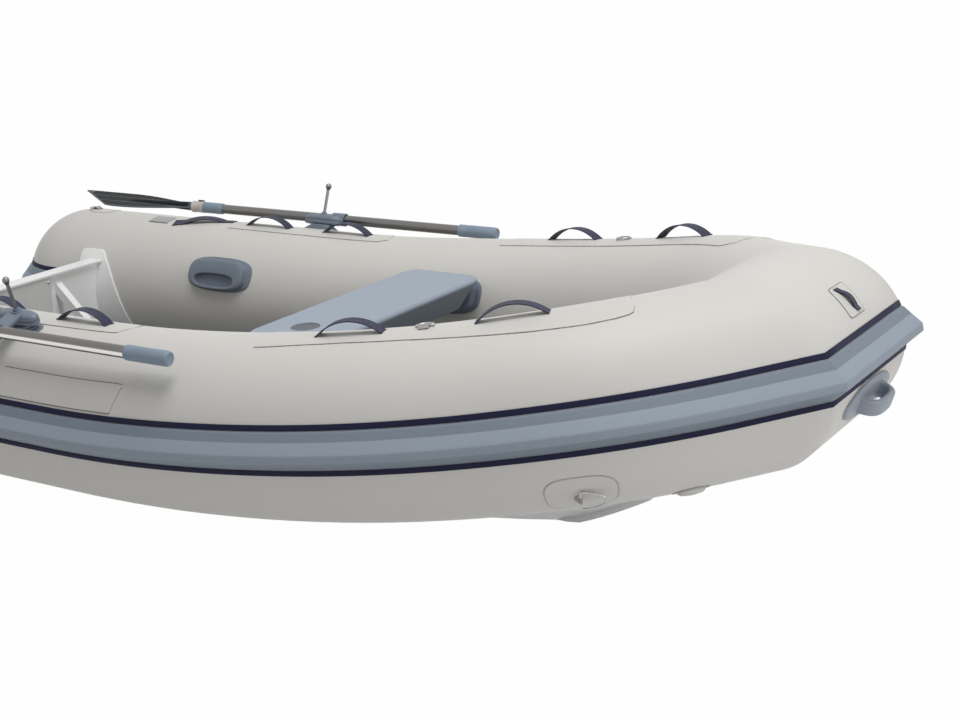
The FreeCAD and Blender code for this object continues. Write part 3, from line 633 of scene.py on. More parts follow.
def brick(middle: Sequence[float], size: Sequence[float], edge: float) -> Array:
    """Rings of a block with rounded upright and level edges, stacked along its height.

    Args:
        middle: the block's centre.
        size: its length, width and height.
        edge: how far its edges are rounded.

    Returns:
        Points, rings by points by 3.
    """
    x, y, z = (half / 2 for half in size)
    loop = rounded([(-x, -y), (x, -y), (x, y), (-x, y)], edge, 5)[:-1]
    levels = ((-z, edge), (-z + edge * 0.3, edge * 0.3), (-z + edge, 0), (z - edge, 0),
              (z - edge * 0.3, edge * 0.3), (z, edge))
    rows = [np.concatenate([loop * [1 - cut / x, 1 - cut / y], np.full((len(loop), 1), level)], axis=1)
            for level, cut in levels]
    return np.stack(rows) + np.array(middle)


def smooth(t: Array) -> Array:
    """The smooth step of numbers between 0 and 1."""
    t = np.clip(t, 0, 1)
    return t * t * (3 - 2 * t)


@dataclass
class Place:
    """A local frame: X forward, Y inboard, Z away from the tube."""

    origin: Array
    x: Array
    y: Array
    z: Array

    def put(self, local: Array) -> Array:
        """Local points in the boat's frame."""
        return self.origin + local[..., :1] * self.x + local[..., 1:2] * self.y + local[..., 2:3] * self.z

    def turned(self, degrees: float) -> "Place":
        """The frame turned about its own Z axis."""
        c, s = math.cos(math.radians(degrees)), math.sin(math.radians(degrees))
        return Place(self.origin, self.x * c + self.y * s, self.y * c - self.x * s, self.z)

    def tipped(self, degrees: float) -> "Place":
        """The frame tipped about its own X axis, with the side away from Y going outwards."""
        c, s = math.cos(math.radians(degrees)), math.sin(math.radians(degrees))
        return Place(self.origin, self.x, self.y * c - self.z * s, self.z * c + self.y * s)


@dataclass
class CollarForm:
    """The path of the side and bow tubes, in metres.

    The starboard axis runs straight to bend_start, then along a clamped cubic spline through the bend's
    points, then straight to the mitre with the transverse bow tube.
    """

    radius: float = 0.215
    half_space: float = 0.600
    height: float = 0.305
    dome_x: float = -1.270
    bend_start: float = -0.250
    bow_x: float = 1.242
    rise: float = 0.174
    corner: float = 0.171
    run: float = 0.100
    heading: float = 46.0
    slope: float = 0.13
    tilt: float = 9.8
    start_speed: float = 1.0813
    end_speed: float = 1.0351
    samples: int = 3001
    shares: tuple[Triple, ...] = (
        (0.0, 0.0, 0.0), (0.270, 0.0, 0.103), (0.504, 0.093, 0.299), (0.703, 0.277, 0.552),
        (0.860, 0.520, 0.800))

    def __post_init__(self) -> None:
        """Works out the bow's directions, the bend's points and the mitre plane."""
        tilt, turn = math.radians(self.tilt), math.radians(self.heading)
        self.lean = np.array([-math.sin(tilt), 0, math.cos(tilt)])
        self.bow_out = np.array([math.cos(tilt), 0, math.sin(tilt)])
        self.bow_axis = np.array([self.bow_x, 0, self.height + self.rise])
        self.knee = self.bow_axis + np.array([0, -self.corner, 0])
        self.end = unit(np.array([math.cos(turn), math.sin(turn), self.slope]))
        span = np.array([self.bow_x - self.bend_start, self.half_space - self.corner, self.rise])
        knots = np.array([self.bend_start, -self.half_space, self.height]) + np.array(self.shares) * span
        knots = np.concatenate([knots, [self.knee - self.end * self.run]])
        self.table, self.heads = self.spline(knots)
        self.last = self.table[-1]
        self.mitre = unit(self.end + np.array([0, 1, 0]))

    def spline(self, knots: Array) -> tuple[Array, Array]:
        """A clamped cubic spline: the slopes solve its tridiagonal system, and Hermite pieces join the knots.

        Args:
            knots: the points that it runs through.

        Returns:
            Dense places and their unit tangents.
        """
        t = np.concatenate([[0], np.cumsum(np.linalg.norm(np.diff(knots, axis=0), axis=1))])
        h = np.diff(t)[:, None]
        system = np.eye(len(knots))
        right = np.zeros_like(knots)
        right[0], right[-1] = [self.start_speed, 0, 0], self.end * self.end_speed
        chord = np.diff(knots, axis=0) / h
        for k in range(1, len(knots) - 1):
            a, b = h[k - 1, 0], h[k, 0]
            system[k, k - 1:k + 2] = [b, 2 * (a + b), a]
            right[k] = 3 * (b * chord[k - 1] + a * chord[k])
        slopes = np.linalg.solve(system, right)
        dense = np.linspace(0, t[-1], self.samples)
        seg = np.clip(np.searchsorted(t, dense, side="right") - 1, 0, len(h) - 1)
        w, hs = ((dense - t[seg]) / h[seg, 0])[:, None], h[seg]
        p0, p1, m0, m1 = knots[seg], knots[seg + 1], slopes[seg] * hs, slopes[seg + 1] * hs
        places = (p0 * (2 * w**3 - 3 * w**2 + 1) + m0 * (w**3 - 2 * w**2 + w)
                  + p1 * (3 * w**2 - 2 * w**3) + m1 * (w**3 - w**2))
        heads = unit(p0 * (6 * w**2 - 6 * w) + m0 * (3 * w**2 - 4 * w + 1)
                     + p1 * (6 * w - 6 * w**2) + m1 * (3 * w**2 - 2 * w))
        return places, heads

    def frames(self, x: Array) -> tuple[Array, Array, Array, Array]:
        """Axis points, tangents, outward and upward directions at x.

        Args:
            x: places along the boat on the starboard axis.

        Returns:
            Four arrays with a last dimension of 3.
        """
        x = np.asarray(x, float)
        seg = np.interp(x, self.table[:, 0], np.arange(len(self.table)))
        low = np.clip(np.floor(seg).astype(int), 0, len(self.table) - 2)
        w = (seg - low)[..., None]
        point = self.table[low] * (1 - w) + self.table[low + 1] * w
        head = unit(self.heads[low] * (1 - w) + self.heads[low + 1] * w)
        aft = (x < self.bend_start)[..., None]
        fore = (x > self.last[0])[..., None]
        flat = np.stack([x, np.full_like(x, -self.half_space), np.full_like(x, self.height)], -1)
        past = self.last + self.end * ((x - self.last[0]) / self.end[0])[..., None]
        point = np.where(aft, flat, np.where(fore, past, point))
        head = np.where(aft, np.array([1.0, 0, 0]), np.where(fore, self.end, head))
        out = unit(np.cross(head, self.lean))
        return point, head, out, np.cross(out, head)

    def on(self, x: Array, angle: Array, radius: Array | float | None = None) -> Array:
        """Points of the starboard tube.

        Args:
            x: axis places.
            angle: degrees from outboard, 90 on top.
            radius: distance from the axis, or the tube's radius.

        Returns:
            The points.
        """
        x, angle = np.broadcast_arrays(np.asarray(x, float), np.asarray(angle, float))
        point, _, out, up = self.frames(x)
        a = np.radians(angle)[..., None]
        r = np.asarray(self.radius if radius is None else radius, float)
        r = np.broadcast_to(r, x.shape)[..., None]
        return point + (out * np.cos(a) + up * np.sin(a)) * r

    def seat(self, x: float, angle: float, lift: float = 0.0) -> Place:
        """The local frame on the tube's skin at x and an angle.

        Args:
            x: place on the axis.
            angle: degrees from outboard.
            lift: height over the skin.

        Returns:
            The frame.
        """
        point, head, out, up = self.frames(np.array(x))
        a = math.radians(angle)
        away = out * math.cos(a) + up * math.sin(a)
        return Place(point + away * (self.radius + lift), head, np.cross(away, head), away)

    def draped(self, x: float | Array, angle: float, rings: Table, power: float | Array = 2.0,
               count: int = 96) -> Array:
        """Rings laid round a place on the starboard tube, as superellipses in x and angle.

        Args:
            x: the axis place of the middle, one for all rings or one each.
            angle: the middle's angle.
            rings: half length, half angle, shift in angle and lift of each ring.
            power: the superellipse's power, one for all rings or one each.
            count: points of a ring.

        Returns:
            Points, rings by points by 3.
        """
        r = np.array(rings, float)[:, None, :]
        loop = superoval(np.broadcast_to(np.asarray(power, float).reshape(-1, 1), (len(r), 1)), count)
        return self.on(x + loop[..., 0] * r[..., 0], angle + r[..., 2] + loop[..., 1] * r[..., 1],
                       self.radius + r[..., 3] + 0 * loop[..., 0])

    def bow_draped(self, angle: float, rings: Table, power: float = 2.0,
                   count: int = 96) -> Array:
        """Rings laid round a place on the bow tube, as superellipses in width and angle.

        Args:
            angle: the middle's angle in degrees.
            rings: half width, half angle and lift of each ring.
            power: the superellipse's power.
            count: points of a ring.

        Returns:
            Points, rings by points by 3.
        """
        r = np.array(rings, float)[:, None, :]
        loop = superoval(np.full((len(r), 1), power), count)
        a = np.radians(angle + loop[..., 1] * r[..., 1])
        reach = self.radius + r[..., 2]
        return self.bow_axis + np.stack([np.cos(a) * reach, loop[..., 0] * r[..., 0], np.sin(a) * reach], -1)

    def bow_seat(self, angle: float, lift: float = 0.0) -> Place:
        """The local frame on the bow tube, whose X runs to port, at a level angle.

        Args:
            angle: degrees from forward, 90 on top.
            lift: height over the skin.

        Returns:
            The frame.
        """
        a = math.radians(angle)
        away = np.array([math.cos(a), 0, math.sin(a)])
        side = np.array([0.0, 1.0, 0.0])
        return Place(self.bow_axis + away * (self.radius + lift), side, np.cross(away, side), away)

    def stations(self, bend_steps: int = 72) -> Array:
        """Axis places from the dome's centre to the spline's end, close in the bend.

        Args:
            bend_steps: places in the bend.

        Returns:
            The places.
        """
        flat = np.linspace(self.dome_x, self.bend_start, 14)[:-1]
        steps = np.linspace(0, len(self.table) - 1, bend_steps).astype(int)
        return np.concatenate([flat, self.table[steps, 0]])

    def to_mitre(self, u: Array, v: Array) -> tuple[Array, Array]:
        """Where lines along the side tube and the bow tube meet the mitre plane.

        Args:
            u: outward distances from the axis.
            v: upward distances.

        Returns:
            The last points of the side run, and those points shared with the bow run.
        """
        _, _, out, up = self.frames(self.last[0] + 1e-6)
        start = self.last + out * u[:, None] + up * v[:, None]
        reach = ((self.knee - start) @ self.mitre) / (self.end @ self.mitre)
        side = start + self.end * reach[:, None]
        across = self.bow_axis + self.bow_out * u[:, None] + self.lean * v[:, None]
        shift = ((self.knee - across) @ self.mitre) / self.mitre[1]
        bow = across + np.array([0, 1, 0]) * shift[:, None]
        return start, (side + bow) / 2

    def carry(self, outline: Array, stern: Callable[[Array], Array]) -> Array:
        """Carries an outline round the whole collar, from the starboard stern to the port stern.

        Args:
            outline: points (outward, upward) from the axis.
            stern: gives the rows aft of the dome's centre for the outline.

        Returns:
            Points, rows by columns by 3.
        """
        u, v = outline[:, 0], outline[:, 1]
        point, _, out, up = self.frames(self.stations())
        run = point[:, None] + out[:, None] * u[None, :, None] + up[:, None] * v[None, :, None]
        start, joint = self.to_mitre(u, v)
        t = np.linspace(0, 1, 7)[1:, None, None]
        fore = start[None] * (1 - t) + joint[None] * t
        half = np.concatenate([stern(outline), run, fore])
        t = np.linspace(0, 1, 9)[1:-1, None, None]
        bow = joint[None] * (1 - t) + port(joint)[None] * t
        return np.concatenate([half, bow, port(half)[::-1]])

    def wrapped_stern(self, inner_x: float, steps: int = 40) -> Callable[[Array], Array]:
        """A stern for outlines turned round the dome and run forward on the inner side to inner_x.

        Args:
            inner_x: where the inner run ends.
            steps: rows of the half turn.

        Returns:
            The function that gives the stern's rows.
        """

        def rows(outline: Array) -> Array:
            """The inner run and the half turn, without the last row.

            Args:
                outline: points (outward, upward) from the axis.

            Returns:
                Points, rows by columns by 3.
            """
            turn = np.linspace(math.pi, 0, steps)[:-1, None]
            centre = np.array([self.dome_x, -self.half_space, self.height])
            away = np.stack([-np.sin(turn), -np.cos(turn), 0 * turn], -1)
            half = centre + away * outline[None, :, :1] + np.array([0, 0, 1.0]) * outline[None, :, 1:]
            t = np.linspace(1, 0, 8)[:-1, None, None]
            inner = half[:1] + np.array([inner_x - self.dome_x, 0, 0]) * t
            return np.concatenate([inner, half])

        return rows

    def domed_stern(self, steps: int = 28) -> Callable[[Array], Array]:
        """A stern that closes a round outline with a half sphere.

        Args:
            steps: rings from the pole to the dome's centre.

        Returns:
            The function that gives the stern's rows.
        """

        def rows(outline: Array) -> Array:
            """Rings from the pole to just before the dome's centre.

            Args:
                outline: points (outward, upward) from the axis.

            Returns:
                Points, rows by columns by 3.
            """
            a = np.linspace(0, math.pi / 2, steps)[:-1, None]
            centre = np.array([self.dome_x, -self.half_space, self.height])
            ring = np.stack([0 * outline[:, 0], -outline[:, 0], outline[:, 1]], -1)
            back = np.array([-self.radius, 0, 0])
            return centre + ring[None] * np.sin(a)[..., None] + back * np.cos(a)[..., None]

        return rows


FORM = CollarForm()


@dataclass
class Collar:
    """The air tubes, the rub rail and the two navy strips."""

    around: int = 144
    rail_top: float = 0.046
    rail_low: float = 0.042
    rail_out: float = 0.034
    rail_round: float = 0.0028
    nose_top: float = 0.0255
    nose_low: float = 0.018
    lip: float = 0.006
    shelf: float = 0.014
    strip: float = 0.0135
    strip_proud: float = 0.0016
    strip_gap: float = 0.0003
    strip_round: float = 0.0007
    glue: float = 0.0004
    inner_end: float = -1.1229
    fabric: CollarFabric = CollarFabric()
    rubber: RailRubber = RailRubber()
    trim: TrimStrip = TrimStrip()

    def skin(self, v: float, lift: float | None = None) -> float:
        """Outward place, at an upward distance, of the tube's surface with a lift, or with the glue's."""
        return math.sqrt((FORM.radius + (self.glue if lift is None else lift)) ** 2 - v**2)

    def tubes(self) -> None:
        """The collar's skin: a circle carried round, whose two mitres stay soft."""
        a = np.linspace(0, 2 * math.pi, self.around + 1)
        outline = np.stack([np.cos(a), np.sin(a)], -1) * FORM.radius
        spots = FORM.carry(outline, FORM.domed_stern())
        Shell().grid(spots).finish("collar_tubes", self.fabric.build(), "collar_fabric",
                                   ["tube_starboard", "tube_port", "tube_bow"], sharp=80.0)

    def rail(self) -> None:
        """The rub rail: a steep band, a slanted nose and a lower lip, carried round the collar."""
        top, low = self.rail_top, -self.rail_low
        reach, shelf = FORM.radius + self.rail_out, FORM.radius + self.shelf
        outline = rounded([
            (self.skin(top), top), (self.skin(top) + self.lip, top - self.lip / 2), (shelf, self.nose_top),
            (reach, 0.0), (reach, -self.nose_low), (self.skin(low) + self.lip, low + self.lip / 2),
            (self.skin(low), low), (self.skin(low / 2), low / 2), (self.skin(0.0), 0.0),
            (self.skin(top / 2), top / 2)], self.rail_round)
        spots = FORM.carry(outline, FORM.wrapped_stern(self.inner_end))
        on_nose = ((outline[:, 0] > shelf - 0.001) & (outline[:, 1] < self.nose_top - 0.0005)
                   & (outline[:, 1] > -self.nose_low - 0.0005)).astype(float)
        Shell().grid(spots, ends=True, nose=on_nose[None]).finish(
            "rub_rail", self.rubber.build(), "rail_rubber",
            ["rub_rail_starboard", "rub_rail_port", "rub_rail_bow"], sharp=16.0)

    def strips(self) -> None:
        """The navy strips above and below the rail."""
        shell = Shell()
        glue, proud = self.glue, self.strip_proud + self.glue
        for low, high in ((self.rail_top + self.strip_gap, self.rail_top + self.strip),
                          (-self.rail_low - self.strip, -self.rail_low - self.strip_gap)):
            corners = [(self.skin(v, lift), v) for v, lift in (
                (low, glue), (low, proud), ((low + high) / 2, proud), (high, proud), (high, glue))]
            spots = FORM.carry(rounded(corners, self.strip_round, 3), FORM.wrapped_stern(self.inner_end))
            shell.grid(spots, ends=True)
        shell.finish("navy_strips", self.trim.build(), "navy_trim",
                     ["stripes_starboard", "stripes_port", "stripes_bow"], sharp=50.0)

    def build(self) -> None:
        """Builds the collar."""
        self.tubes()
        self.rail()
        self.strips()


@dataclass
class Patches:
    """Bonded fabric patches: a thin dark edge, partly seam and partly painted contact shadow, and a slightly
    raised face over the tube.

    The rim's tables give its rows in shares of the edge, how far each has risen and how dark its seam and
    painted shadow are.
    """

    thick: float = 0.0012
    edge: float = 0.0024
    lift: float = 0.0001
    rim: tuple[float, ...] = (0.0, 0.12, 0.3, 0.98, 1.04)
    rim_rise: tuple[float, ...] = (0.0, 0.8, 1.0, 1.0, 1.0)
    rim_seam_shade: tuple[float, ...] = (1.0, 1.0, 1.0, 1.0, 0.0)
    fabric: CollarFabric = CollarFabric("patch_fabric", (0.69, 0.675, 0.64), line=0.24)
    aft: tuple[Triple, ...] = (
        (-0.670, 75.0, 103.5), (-0.400, 76.0, 103.5), (-0.125, 78.3, 103.5), (-0.112, 79.2, 102.6),
        (-0.104, 80.5, 101.2), (-0.100, 90.0, 100.4), (-0.090, 97.4, 99.0))
    fore: tuple[Triple, ...] = (
        (0.308, 69.5, 103.5), (0.420, 71.5, 103.5), (0.520, 72.0, 103.5), (0.650, 70.4, 103.5),
        (0.800, 66.6, 104.0), (0.920, 63.2, 105.0), (1.000, 62.0, 105.5), (1.040, 63.0, 105.5),
        (1.060, 64.6, 105.2), (1.068, 66.5, 104.6), (1.072, 70.0, 103.6), (1.080, 86.0, 101.0),
        (1.090, 96.5, 97.3))
    plate: tuple[Triple, ...] = ((-0.372, 17.3, 37.3), (-0.012, 17.3, 37.3), (0.010, 34.4, 36.9))
    ring_bases: tuple[tuple[float, ...], ...] = (
        (0.953, -45.0, 0.0560, 16.5, 3.2), (-1.222, 86.5, 0.046, 10.5, 5.0))
    bow_patches: tuple[tuple[str, float, float, float, float], ...] = (
        ("bow_handle_patch", -16.5, 0.158, 0.046, 1.75), ("bow_strap_patch", 43.0, 0.048, 0.040, 11.0))

    def spread(self, start: float, end: float, count: int) -> tuple[Array, Array]:
        """Places from start to end with a rim at both ends.

        Args:
            start: first place.
            end: last place.
            count: places between the rims.

        Returns:
            The places, and the rise of the face there as a share.
        """
        steps, rise = np.array(self.rim) * self.edge, np.array(self.rim_rise)
        inner = np.linspace(start + steps[-1], end - steps[-1], count)[1:-1]
        return (np.concatenate([start + steps, inner, end - steps[::-1]]),
                np.concatenate([rise, np.ones(len(inner)), rise[::-1]]))

    def sheet(self, shell: Shell, side: Side, table: Table, rows: int = 90,
              across: int = 18, thick: float | None = None) -> None:
        """Adds a sheet between two edges that run along the tube.

        Args:
            shell: gathers the sheet.
            side: the half of the boat.
            table: x, lower angle and upper angle at a few places.
            rows: rows between the rims.
            across: columns between the rims.
            thick: how far it stands proud, or the usual thickness.
        """
        thick = self.thick if thick is None else thick
        knots = np.array(table)
        x, rise = self.spread(knots[0, 0], knots[-1, 0], rows)
        low, high = np.interp(x, knots[:, 0], knots[:, 1]), np.interp(x, knots[:, 0], knots[:, 2])
        wide = np.maximum(np.radians(high - low) * FORM.radius, 0.0006)
        rim = np.minimum(self.edge / wide, 0.24)[:, None]
        inner = np.linspace(0, 1, across)[None, 1:-1]
        left = rim * np.array(self.rim)
        t = np.concatenate([left, rim * 1.1 + (1 - 2.2 * rim) * inner, 1 - left[:, ::-1]], axis=1)
        side_rise, side_seam_shade, flat = np.array(self.rim_rise), np.array(self.rim_seam_shade), np.ones(across - 2)
        up = np.minimum(rise[:, None], np.concatenate([side_rise, flat, side_rise[::-1]])[None])
        # the rims carry the dark edge line: seam and painted contact shadow
        seam = np.concatenate([side_seam_shade, 0 * flat, side_seam_shade[::-1]])[None]
        angle = low[:, None] * (1 - t) + high[:, None] * t
        along = np.repeat(x[:, None], t.shape[1], 1)
        top = FORM.on(along, angle, FORM.radius + self.lift + thick * up)
        bottom = FORM.on(along, angle, FORM.radius + self.lift)
        shell.grid(side.place(top), seam=seam)
        shell.grid(side.place(bottom))

    def disc(self, shell: Shell, place: Callable[[Table], Array], half: float,
             half_angle: float) -> None:
        """Adds a patch with rounded corners, as rings laid by a placing function.

        Args:
            shell: gathers the patch.
            place: lays rings on a tube.
            half: half its length.
            half_angle: half its width, in degrees.
        """
        e = self.edge / half
        rings = [(half * s, half_angle * s, 0.0, self.lift + self.thick * r) for s, r in (
            (1.0, 0.0), (1 - e * 0.12, 0.8), (1 - e * 0.3, 1.0), (1 - e, 1.0), (1 - e * 1.06, 1.0),
            (0.6, 1.0), (0.3, 1.0), (0.01, 1.0))]
        # the outer rings carry the dark edge line: seam and painted contact shadow
        shell.grid(place(rings), wrap=True, seam=np.array([1.0, 1, 1, 1, 0, 0, 0, 0])[:, None])
        base = place([(half, half_angle, 0.0, self.lift), (half * 0.01, half_angle * 0.01, 0.0, self.lift)])
        shell.grid(base, wrap=True)

    def build(self) -> None:
        """Builds the patches of both sides and the bow."""
        material = self.fabric.build()
        faint = CollarFabric("ring_base_fabric", self.fabric.colour, line=0.62).build()
        for side in Side:
            shell = Shell()
            self.sheet(shell, side, self.aft, 60)
            self.sheet(shell, side, self.fore, 110)
            shell.finish(f"handle_patches_{side.value}_fabric", material, "patch_fabric",
                         [f"handle_patches_{side.value}"])
            shell = Shell()
            self.sheet(shell, side, self.plate, 40)
            shell.finish(f"side_plate_{side.value}", material, "patch_fabric", [f"name_plate_{side.value}"])
            shell = Shell()
            for x, angle, half, half_angle, power in self.ring_bases:
                self.disc(shell, lambda rings, x=x, angle=angle, power=power, side=side: side.place(
                    FORM.draped(x, angle, rings, power)), half, half_angle)
            shell.finish(f"ring_bases_{side.value}", faint, "patch_fabric", [f"ring_patches_{side.value}"])
        for name, angle, half, tall, power in self.bow_patches:
            shell = Shell()
            self.disc(shell, lambda rings, angle=angle, power=power: FORM.bow_draped(
                angle, [(r[0], r[1], r[3]) for r in rings], power), half, math.degrees(tall / FORM.radius))
            shell.finish(name + "_fabric", material, "patch_fabric", [name])


@dataclass
class Straps:
    """Webbing: grab handles, keeper straps, the bow loop and the tabs that hold the rings."""

    width: float = 0.034
    thick: float = 0.0026
    span: float = 0.154
    rise: float = 0.031
    foot: float = 0.003
    blend: float = 0.0012
    places: tuple[Triple, ...] = (
        (-0.543, 90.0, 0.0018), (-0.258, 90.0, 0.0030), (0.520, 86.0, 0.0028), (0.878, 86.0, 0.0030))
    rings: tuple[tuple[float, float, float, float, float], ...] = (
        (0.690, 87.0, 0.0, 1.0, 0.0), (-1.262, 86.0, 90.0, 1.0, 0.0), (0.953, -45.0, -96.0, 2.6, 30.0))
    wire: float = 0.0025
    ring_half: float = 0.020
    ring_lift: float = 0.004
    tab_base: float = 0.0014
    tab_width: float = 0.024
    tab_thick: float = 0.0014
    tab_drop: float = 0.026
    tab_fold: tuple[Triple, ...] = (
        (0, -0.0175, 0.0012), (0, -0.0100, 0.0034), (0, -0.0040, 0.0072), (0, 0.0008, 0.0078),
        (0, 0.0044, 0.0056), (0, 0.0048, 0.0026), (0, 0.0020, 0.0008))
    keeper_place: tuple[float, float] = (-0.785, 97.0)
    keeper_arch: Triple = (0.130, 0.012, 0.030)
    keeper_slant: tuple[float, float] = (0.026, -0.046)
    keeper_across: Triple = (0.3, 1.0, 0.0)
    keeper_width: float = 0.040
    keeper_pad: tuple[Triple, ...] = ((-0.978, 93.0, 106.0), (-0.902, 93.0, 106.0))
    pad_thick: float = 0.0024
    loop_angle: float = 43.0
    loop_arch: Triple = (0.046, 0.0065, 0.010)
    loop_wave: tuple[float, float] = (0.004, 0.034)
    loop_slant: float = 0.5
    loop_width: float = 0.021
    glue: float = 0.0004
    webbing: Webbing = Webbing()
    steel: Metal = Metal("ring_steel", (0.42, 0.42, 0.42), 0.28, (200.0, 200.0, 200.0))

    def ribbon(self, shell: Shell, path: Array, across: Array, width: float, thick: float,
               place: Callable[[Array], Array]) -> None:
        """Adds a flat strap along a path, with edges a little thicker than its middle.

        Args:
            shell: gathers the strap.
            path: its middle line, points by 3.
            across: the direction of its width.
            width: its width.
            thick: its thickness.
            place: puts local points in the boat's frame.
        """
        head = unit(np.gradient(path, axis=0))
        up = unit(np.cross(head, np.broadcast_to(across, head.shape)))
        w, t = width / 2, thick / 2
        side = [(-w, -t), (-w * 0.86, -t), (-w * 0.8, -t * 0.72)]
        under = side + [(-a, b) for a, b in side[::-1]]
        ring = rounded(under + [(a, -b) for a, b in under[::-1]], thick * 0.3, 4)
        spots = (path[:, None] + across * ring[None, :, :1] + up[:, None] * ring[None, :, 1:])
        length = np.concatenate([[0], np.cumsum(np.linalg.norm(np.diff(path, axis=0), axis=1))])
        uv = np.stack(np.broadcast_arrays(length[:, None], ring[None, :, 0]), -1)
        shell.grid(place(spots), uv=uv, ends=True)

    def arch(self, span: float, rise: float, foot: float, steps: int = 48) -> Array:
        """A local path: a flat foot, an arc over the span and a flat foot, blended at its ends.

        Args:
            span: the arc's length along the path.
            rise: its height in the middle.
            foot: the length of each foot.
            steps: points of the arc.

        Returns:
            Points, in the plane of local X and Z.
        """
        half = span / 2
        x = np.concatenate([np.linspace(-half - foot, -half, 6)[:-1], np.linspace(-half, half, steps),
                            np.linspace(half, half + foot, 6)[1:]])
        radius = (half * half + rise * rise) / (2 * rise)
        z = np.sqrt(np.maximum(radius**2 - x**2, 0)) - (radius - rise)
        z = np.maximum(z, 0)
        z = 0.5 * (z + np.sqrt(z**2 + self.blend**2)) - self.blend / 2
        return np.stack([x, 0 * x, z], -1)

    def on_axis(self, x: float, angle: float, lift: float) -> Callable[[Array], Array]:
        """Follows the tube's bend: local points are carried along the tube's own frames.

        Args:
            x: place on the axis.
            angle: degrees from outboard.
            lift: height over the skin.

        Returns:
            The placing function.
        """

        def put(local: Array) -> Array:
            """Local x becomes a place on the axis, local y an angle, local z a lift."""
            return FORM.on(x + local[..., 0], angle + np.degrees(local[..., 1] / FORM.radius),
                           FORM.radius + lift + local[..., 2])

        return put

    def handles(self, material: bpy.types.Material) -> None:
        """The grab handles of both sides.

        Args:
            material: the webbing.
        """
        path = self.arch(self.span, self.rise, self.foot)
        for side in Side:
            for number, (x, angle, lift) in enumerate(self.places, start=1):
                shell = Shell()
                seat = FORM.seat(x, angle, lift - self.blend / 2)
                self.ribbon(shell, path, np.array([0, 1.0, 0]), self.width, self.thick,
                            lambda p, seat=seat, side=side: side.place(seat.put(p)))
                node = f"grab_handle_{side.value}_{number}"
                shell.finish(node + "_strap", material, "navy_webbing", [node], sharp=50.0)

    def keepers(self, material: bpy.types.Material) -> None:
        """The slanted keeper straps inboard of the stowed oars and the pads beside them.

        Args:
            material: the webbing.
        """
        path = self.arch(*self.keeper_arch)
        path[:, 1] = np.interp(path[:, 0], path[[0, -1], 0], self.keeper_slant)
        pads = Patches(fabric=CollarFabric("keeper_pad_fabric", (0.42, 0.42, 0.42), line=0.3))
        grey = pads.fabric.build()
        for side in Side:
            shell = Shell()
            drape = self.on_axis(*self.keeper_place, self.glue + self.thick / 2)
            self.ribbon(shell, path, unit(np.array(self.keeper_across)), self.keeper_width, self.thick,
                        lambda p, side=side, drape=drape: side.place(drape(p)))
            shell.finish(f"oar_keeper_{side.value}_strap", material, "navy_webbing",
                         [f"oar_keeper_{side.value}"], sharp=50.0)
            shell = Shell()
            pads.sheet(shell, side, self.keeper_pad, 12, 10, self.pad_thick)
            shell.finish(f"oar_keeper_{side.value}_pad", grey, "patch_fabric")

    def bow_loop(self, material: bpy.types.Material) -> None:
        """The low loop on the bow patch, laid in a flat S round the tube.

        Args:
            material: the webbing.
        """
        flat = self.arch(*self.loop_arch, 40)
        high, wave = self.loop_wave
        sway = high * np.sin(flat[:, 0] / wave * math.pi) - self.loop_slant * flat[:, 0]
        path = np.stack([sway, flat[:, 0], flat[:, 2] - flat[:, 0] ** 2 / (2 * FORM.radius)], -1)
        seat = FORM.bow_seat(self.loop_angle, self.glue + Patches.thick + self.thick / 2)
        shell = Shell()
        self.ribbon(shell, path, np.array([1.0, 0, 0]), self.loop_width, self.thick, seat.put)
        shell.finish("bow_strap_loop", material, "navy_webbing", sharp=50.0)

    def ring_loop(self, reach: float) -> Array:
        """The D of a ring in its own plane: a straight bar and half an ellipse.

        Args:
            reach: the ellipse's depth as a share of its half width.

        Returns:
            Points, rows along the wire by columns round it by 3.
        """
        a = np.linspace(0, math.pi, 25)
        arc = np.stack([np.cos(a), np.sin(a) * reach], -1) * self.ring_half
        loop = rounded([tuple(p) for p in arc], 0.002, 3)[:-1]
        tangent = unit(np.roll(loop, -1, 0) - np.roll(loop, 1, 0))
        normal = np.stack([tangent[:, 1], -tangent[:, 0]], -1)
        t = np.linspace(0, 2 * math.pi, 17)
        ring = np.stack([
            loop[:, None, 0] + normal[:, None, 0] * np.cos(t) * self.wire,
            loop[:, None, 1] + normal[:, None, 1] * np.cos(t) * self.wire,
            np.broadcast_to(np.sin(t) * self.wire, (len(loop), 17))], -1)
        return np.concatenate([ring, ring[:1]])

    def held_rings(self) -> None:
        """The steel rings and the folded tabs round their bars."""
        tab_cloth = CollarFabric("tab_fabric", (0.36, 0.355, 0.34), line=0.3).build()
        steel = self.steel.build()
        fold = np.array(self.tab_fold, float)
        foot = np.clip(fold[:, 1] / fold[0, 1], 0, 1)
        for side in Side:
            rings, tabs = Shell(), Shell()
            for x, angle, turn, reach, tilt in self.rings:
                lean = math.sin(math.radians(tilt))
                seat = FORM.seat(x, angle, self.tab_base + self.ring_half * lean).tipped(tilt).turned(turn)
                rings.grid(side.place(seat.put(self.ring_loop(reach) + np.array([0, 0, self.ring_lift]))))
                hung = fold * [1, 1 - 0.5 * lean, 1] - np.outer(foot, [0, 0, self.tab_drop * lean])
                path = rounded([tuple(p) for p in hung], 0.002, 4, closed=False)
                self.ribbon(tabs, path, np.array([1.0, 0, 0]), self.tab_width * (1 - lean), self.tab_thick,
                            lambda p, seat=seat, side=side: side.place(seat.put(p)))
            rings.finish(f"rings_{side.value}_steel", steel, "steel", [f"rings_{side.value}"], sharp=60.0)
            tabs.finish(f"ring_tabs_{side.value}", tab_cloth, "patch_fabric", sharp=50.0)

    def build(self) -> None:
        """Builds every strap."""
        material = self.webbing.build()
        self.handles(material)
        self.keepers(material)
        self.bow_loop(material)
        self.held_rings()


